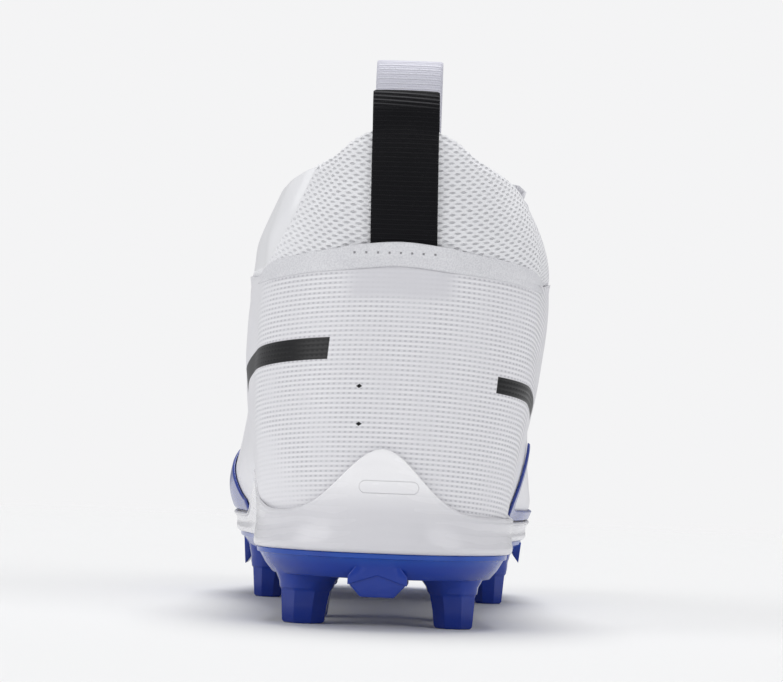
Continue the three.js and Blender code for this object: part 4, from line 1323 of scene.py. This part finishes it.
# Plain level bars printed on the two sides of the heel, and the two small lozenges beside its middle.
BARS = table("low high middle half", (-68, -14, 84, 3.3), (24, 58, 76, 2.5))
LOZENGES = table("walk middle half", (-6.4, 72.5, 0.65), (-5.6, 61.2, 0.65))
PRINT_BLUR = 0.1


def printed_marks(walk, up):
    """One where the black print lies, and nought on the bare cloth."""

    def within(distance, half):
        return distance.ramp(half + PRINT_BLUR, half - PRINT_BLUR)

    print_on = walk * 0
    for bar in BARS:
        along_bar = (walk - (bar["low"] + bar["high"]) / 2).calc("ABSOLUTE")
        across_bar = (up - bar["middle"]).calc("ABSOLUTE")
        shape = within(along_bar, (bar["high"] - bar["low"]) / 2) * within(across_bar, bar["half"])
        print_on = print_on + shape
    for mark in LOZENGES:
        spread_out = (walk - mark["walk"]).calc("ABSOLUTE") + (up - mark["middle"]).calc("ABSOLUTE")
        print_on = print_on + within(spread_out, mark["half"])
    return print_on


def coated_textile():
    """White coated textile: rows arch over the heel or cross the vamp, with small dashes between them."""
    finish = Finish(
        "coated_textile", WHITE, 0.4, Specular_IOR_Level=0.3, Coat_Weight=0.1, Coat_Roughness=0.3
    )
    walk, up = finish.cloth()
    x, y, _ = finish.spot()
    fine, broad = finish.grain(0.35)
    # On the vamp the rows run straight across the shoe, and behind it they follow the cloth.
    front = y.calc("GREATER_THAN", VAMP_START)
    across = walk + front * (x - walk)
    height = up + front * (y - x * x * 0.004 - up)
    rib = (height * (1 / RIB_PITCH)).wave(1)
    dash = (across * (1 / DASH_PITCH)).wave(1).ramp(-0.5, 0.9)
    # The rows show round the heel and on the vamp, and fade on the sides, low down and above the spur.
    drift = walk + (broad - 0.5) * 22
    side_fade = drift.ramp(-46, -24) * drift.ramp(66, 42)
    vamp = y.ramp(VAMP_START, VAMP_FULL) * x.calc("ABSOLUTE").ramp(40, 20) * 0.7
    smooth_patch_and_shade = (walk - 0.5).calc("ABSOLUTE").ramp(14, 9) * up.ramp(97, 101)
    low_lateral = (walk * -1 - up * 0.5 + 6).ramp(-2, 9) * up.ramp(66, 54)
    shown = side_fade.calc("MAXIMUM", vamp) * (smooth_patch_and_shade * -0.85 + 1) * (low_lateral * -0.8 + 1)
    worn = broad.ramp(0.3, 0.62) * 0.45 + 0.55
    hole = rib.ramp(-0.1, -0.95) * dash * shown * worn
    # The smooth patch under the heel loop shows fewer rows, and its ground is darkened there as painted
    # shade under the loop.
    ridge = (rib.ramp(-0.7, 0.7) - 0.6) * shown * worn * 0.7 + 0.6 + (broad - 0.5) * 0.3 - smooth_patch_and_shade * 0.55
    marks = printed_marks(walk, up)
    ground = finish.mix(ridge, (0.68, 0.675, 0.71), (0.87, 0.865, 0.89))
    # The dashes between the rows are small holes and take a darker grey.
    finish.colour(finish.mix(marks, finish.mix(hole * 0.75, ground, DASH_GREY), BLACK))
    finish.roughness(hole * 0.25 + fine * 0.12 + 0.34 - marks * 0.06)
    relief = (rib * 0.3 + 0.3) * shown - hole * 0.3 + fine * 0.03
    finish.bump(relief * (marks * -0.6 + 1) + marks * 0.5, 0.26)
    return finish.material


def spacer_mesh():
    """Puffy knitted mesh: long narrow openings in staggered rows, soft and shallow."""
    finish = Finish("spacer_mesh", WHITE, 0.75, Sheen_Weight=0.2)
    walk, up = finish.cloth()
    fine, broad = finish.grain(0.5)
    wobble = (fine - 0.5) * 0.5
    row = up * (1 / KNIT_ROW) + wobble * 0.5
    parity = row.calc("FLOOR") * 0.5
    long_way = (walk * (1 / KNIT_PITCH) + parity + wobble * 0.2).wave(1)
    lens = (long_way * 0.5 - row.wave(1) * 0.5).ramp(0.1, 0.95)
    lateral_fade = (walk + (broad - 0.5) * 10).ramp(-40, -16) * 0.8 + 0.2
    hole = lens * lateral_fade
    twist = (walk * 0.7 + up * 1.3).wave(1.4) * 0.08 + (walk * -0.7 + up * 1.3).wave(1.4) * 0.08
    ground = finish.mix(broad, (0.80, 0.80, 0.825), (0.90, 0.90, 0.925))
    finish.colour(finish.mix(hole * 0.66, ground, KNIT_SHADOW))
    finish.roughness(hole * 0.15 + 0.68)
    finish.bump(hole * -0.6 + twist + fine * 0.2, 0.5)
    return finish.material


def stitched_binding():
    """The smooth binding, with a row of small needle holes where it crosses the heel."""
    finish = Finish("stitched_binding", WHITE, 0.5)
    walk, up = finish.cloth()
    fine, broad = finish.grain(0.5)
    inside_row = (walk + 1).calc("ABSOLUTE").ramp(11, 9)
    near = (up - STITCH_HEIGHT).calc("ABSOLUTE").ramp(0.4, 0.16)
    needle = walk.wave(STITCH_PITCH).ramp(0.8, 0.92) * near * inside_row
    mottle = (fine * 0.8 + broad * 0.2).ramp(0.3, 0.7)
    ground = finish.mix(mottle, (0.62, 0.62, 0.65), (0.76, 0.76, 0.785))
    finish.colour(finish.mix(needle * 0.8, ground, (0.16, 0.16, 0.17)))
    finish.roughness(fine * 0.12 + 0.44)
    finish.bump(needle * -1 + fine * 0.15, 0.25)
    return finish.material


def smooth_film(name, first, second, roughness, coat):
    """A thin glossy sheet."""
    finish = Finish(name, first, roughness, Coat_Weight=coat, Coat_Roughness=0.2)
    fine, broad = finish.grain(0.6)
    finish.colour(finish.mix(broad, first, second))
    finish.roughness(fine * 0.14 + (roughness - 0.07))
    finish.bump(fine, 0.03)
    return finish.material


def moulded_white():
    """Glossy white moulding, with flow lines towards the sides and a plain raised bar on the spur."""
    finish = Finish("moulded_white", WHITE, 0.3, Coat_Weight=0.35, Coat_Roughness=0.14)
    x, y, z = finish.spot()
    broad = finish.grain(0.8)[1]
    off_centre = (x - SPUR_X).calc("ABSOLUTE")
    flow = (z + broad * 5 + off_centre * 0.08).wave(3.6).ramp(-1, 1) * (off_centre.ramp(10, 30) * 0.7 + 0.3)
    low_band = z.ramp(35, 31)
    past_end = (off_centre - SPUR_BAR_HALF).calc("MAXIMUM", 0)
    from_bar = past_end * past_end + (z - SPUR_BAR_Z) * (z - SPUR_BAR_Z)
    bar = from_bar.ramp(4.2, 2.6) * y.ramp(SPUR_BAR_Y, SPUR_BAR_Y - 4)
    # Painted shade and painted highlight: the tray's colour runs from grey at its foot to bright white at
    # the lip and spur, over faint flow lines and broad grain.
    tone = flow * 0.07 + broad * 0.2 + z.ramp(33, 47) * 0.74
    finish.colour(finish.mix(tone, (0.65, 0.645, 0.68), (0.97, 0.965, 0.98)))
    finish.roughness(broad * 0.06 + flow * 0.04 + 0.23)
    finish.bump(flow * low_band * 0.4 + bar * 2.6, 0.12)
    return finish.material


def moulded_blue():
    """Glossy blue moulding, darkened towards the floor by painted shade, lighter along the plate's top by a
    painted highlight, and very slightly uneven.
    """
    finish = Finish(
        "moulded_blue", ROYAL, 0.3, Specular_IOR_Level=0.3, Coat_Weight=0.28, Coat_Roughness=0.08
    )
    z = finish.spot()[2]
    fine, broad = finish.grain(0.9)
    # Painted shade: the blue darkens towards the floor, mixed with broad grain.
    deep = finish.mix(z.ramp(2, 18) * 0.6 + broad * 0.4, ROYAL_SHADE, ROYAL)
    # Painted highlight: a lighter, greener blue along the top of the plate.
    finish.colour(finish.mix(z.ramp(18, 22.4) * broad.ramp(0.25, 0.6), deep, ROYAL_LIT))
    finish.roughness(fine * 0.06 + 0.22)
    finish.bump(broad, 0.12)
    return finish.material


def webbing(name, ground, ridge, pitch, roughness, shine, fold=None):
    """Ribbed webbing. Every second rib is a little stronger, and above the fold height all stand out."""
    finish = Finish(name, ground, roughness, Specular_IOR_Level=shine)
    across, run = finish.cloth()
    fine = finish.grain(0.3)[0]
    rib = run.wave(pitch).ramp(-1, 1) * 0.5 + run.wave(2 * pitch).ramp(-1, 1) * 0.5
    twist = (across + run * 0.3).wave(0.55).ramp(-1, 1)
    colour = finish.mix(rib * 0.75 + twist * 0.15 + fine * 0.1, ground, ridge)
    if fold:
        x, _, z = finish.spot()
        # Above the fold height, lighter grey bands cross the ribs.
        fold_bands = z.ramp(fold, fold + 3) * (z + x * 0.05).wave(1.25).ramp(0.1, 1)
        colour = finish.mix(fold_bands * 0.8, colour, (0.085, 0.085, 0.09))
    finish.colour(colour)
    finish.roughness(fine * 0.15 + (roughness - 0.05))
    finish.bump(rib * 0.85 + twist * 0.15, 0.3)
    return finish.material


def knit_lining():
    """Soft grey knit of the tongue and the sock liner."""
    finish = Finish("knit_lining", LINING, 0.85, Sheen_Weight=0.2)
    x, y, _ = finish.spot()
    fine, broad = finish.grain(0.5)
    loops = (x.wave(1.1) * y.wave(1.1)).ramp(-0.6, 0.8)
    finish.colour(finish.mix(loops * 0.5 + broad * 0.3, LINING, SOFT_WHITE))
    finish.bump(loops + fine * 0.2, 0.2)
    return finish.material


# The camera and its roll: the shoe keeps the angle and size of the photograph and stands in its middle.
FOCAL_PX = 2865
FRAME_WIDTH_PX = 783
CAMERA_SPOT = (31.4, -851, 53.3)
CAMERA_YAW = radians(-1.918)
CAMERA_PITCH = radians(2.28)
CAMERA_ROLL = 0.0384


def make_camera():
    """The camera, rolled as the photograph's camera was."""
    data = bpy.data.cameras.new("photo_camera")
    data.sensor_width = 36
    data.lens = 36 * FOCAL_PX / FRAME_WIDTH_PX
    data.clip_start, data.clip_end = 0.05, 20
    camera = bpy.data.objects.new("photo_camera", data)
    bpy.context.scene.collection.objects.link(camera)
    unrolled = Vector(
        (sin(CAMERA_YAW) * cos(CAMERA_PITCH), cos(CAMERA_YAW) * cos(CAMERA_PITCH), sin(CAMERA_PITCH))
    )
    roll = Matrix.Rotation(atan2(CAMERA_ROLL, 1), 3, "Y")
    ahead = roll.inverted() @ unrolled
    up = roll.inverted() @ Vector((0, 0, 1))
    right = ahead.cross(up).normalized()
    up = right.cross(ahead).normalized()
    turned = Matrix((right, up, -ahead)).transposed().to_4x4()
    camera.matrix_world = Matrix.Translation(in_frame(CAMERA_SPOT)) @ turned
    bpy.context.scene.camera = camera


FLOOR_RADIUS = 3.0
FLOOR_SHOWN = 0.55
FLOOR_GONE = 1.6
PAPER = 0.80
SHADOW_WARMING_TINT = (0.93, 0.91, 0.79)
BACKDROP = (0.905, 0.905, 0.912)


def make_stage():
    """A pale floor that runs out into the backdrop's own tone."""
    bm = bmesh.new()
    bmesh.ops.create_circle(bm, cap_ends=True, radius=FLOOR_RADIUS, segments=64)
    mesh = bpy.data.meshes.new("studio_floor")
    bm.to_mesh(mesh)
    bm.free()
    floor_sheet = bpy.data.objects.new("studio_floor", mesh)
    bpy.context.scene.collection.objects.link(floor_sheet)
    finish = Finish("studio_paper", (PAPER, PAPER, PAPER), 0.9, Specular_IOR_Level=0.1)
    x, y, _ = finish.spot()
    far = (x * x + y * y).calc("SQRT") * MM
    shown = far.ramp(FLOOR_GONE, FLOOR_SHOWN)
    # Painted tint in the shadow: under the plate the floor is warmer, so that its shade, lit by bounce from
    # the blue sole, comes out neutral grey.
    shadow_tint_area = (x - 3).calc("ABSOLUTE").ramp(38, 22) * y.calc("ABSOLUTE").ramp(132, 106)
    finish.colour(finish.mix(shadow_tint_area, (PAPER, PAPER, PAPER), SHADOW_WARMING_TINT))
    finish.link(shown.socket, finish.shader.inputs["Alpha"])
    mesh.materials.append(finish.material)


LAMPS = table(
    "name x y z power spread",
    ("top_light", 0.02, 0.24, 1.0, 1.8, 34),
    ("left_fill", -0.95, -0.55, 0.35, 0.95, 45),
    ("right_fill", 0.9, -0.65, 0.4, 0.72, 45),
)
SKY = 0.435


def make_lights():
    """Three broad lamps, a soft sky, and a backdrop that only the camera sees."""
    for row in LAMPS:
        data = bpy.data.lights.new(row["name"], "SUN")
        data.energy = row["power"]
        data.angle = radians(row["spread"])
        lamp = bpy.data.objects.new(row["name"], data)
        bpy.context.scene.collection.objects.link(lamp)
        lamp.rotation_mode = "QUATERNION"
        lamp.rotation_quaternion = Vector((row["x"], row["y"], row["z"])).to_track_quat("Z", "Y")
    world = bpy.data.worlds.new("studio")
    world.use_nodes = True
    tree = world.node_tree
    light = tree.nodes["Background"]
    light.inputs["Color"].default_value = (0.97, 0.98, 1, 1)
    light.inputs["Strength"].default_value = SKY
    seen = tree.nodes.new("ShaderNodeBackground")
    seen.inputs["Color"].default_value = (*BACKDROP, 1)
    path = tree.nodes.new("ShaderNodeLightPath")
    mix = tree.nodes.new("ShaderNodeMixShader")
    tree.links.new(path.outputs["Is Camera Ray"], mix.inputs["Fac"])
    tree.links.new(light.outputs[0], mix.inputs[1])
    tree.links.new(seen.outputs[0], mix.inputs[2])
    tree.links.new(mix.outputs[0], tree.nodes["World Output"].inputs["Surface"])
    bpy.context.scene.world = world
    bpy.context.scene.view_settings.view_transform = "Standard"


make_camera()
make_stage()
make_lights()

textile = coated_textile()
lining = knit_lining()
white_mould = moulded_white()
white_film = smooth_film("white_film", (0.82, 0.82, 0.845), (0.89, 0.89, 0.91), 0.34, 0.3)
blue_film = smooth_film("blue_film", ROYAL_SHADE, ROYAL, 0.28, 0.5)
black_webbing = webbing("black_webbing", BLACK, BLACK_SOFT, 0.72, 0.5, 0.08, fold=FOLD_Z)
lavender_webbing = webbing("lavender_webbing", (0.66, 0.655, 0.75), LAVENDER, 0.8, 0.45, 0.4)
lace_weave = webbing("lace_weave", (0.66, 0.66, 0.69), WHITE, 0.9, 0.7, 0.3)

finished("upper_shell", upper_piece(), textile, ["upper"])
finished("heel_binding", binding_piece(), stitched_binding())
collar = finished("collar_pad", collar_piece(), spacer_mesh(), ["collar"])
finished("chassis_tray", chassis_piece(), white_mould, ["chassis"])
finished("sockliner", insole_piece(), lining, ["insole"])
tongue = finished("tongue_pad", tongue_piece(), lining, ["tongue"])
for side, name in ((LATERAL, "panel_lateral"), (MEDIAL, "panel_medial")):
    first, last = PANEL_LOW[side][0]["at"], PANEL_LOW[side][-1]["at"]
    inner_walks = spread(first + 1.2, last - 1, PANEL_STOPS)
    walks = [first, first + 0.25, first + 0.7, *inner_walks, last - 0.4, last]
    sheet = overlay_piece([(at, side) for at in walks], panel_band, panel_thickness)
    finished(f"{name}_film", sheet, white_film, [name])
wrap_stops = [(at, MEDIAL) for at in spread(WRAP[MEDIAL][0]["at"], WALK_END, WRAP_STOPS)]
wrap_stops += [(at, LATERAL) for at in reversed(spread(WRAP[LATERAL][0]["at"], WALK_END - 1, PANEL_STOPS))]
finished("toe_wrap_film", overlay_piece(wrap_stops, wrap_band), blue_film, ["toe_wrap"])
finished("heel_loop_webbing", heel_loop_piece(), black_webbing, ["heel_loop"])
finished("tongue_loop_webbing", tongue_loop_piece(), lavender_webbing, ["tongue_loop"])
finished("eyelet_rims", eyelets_piece(), white_mould)
finished("lace_runs", laces_piece(), lace_weave, ["laces"])
sole_parts = [plate_piece(), *[stud_part(row) for row in STUDS], *[blade_part(row) for row in BLADES]]
sole_parts += [*chevron_lug_parts(), *web_parts()]
outsole = finished("outsole_mould", united(sole_parts, "sole"), moulded_blue(), ["outsole"])
outsole.data.set_sharp_from_angle(angle=radians(32))
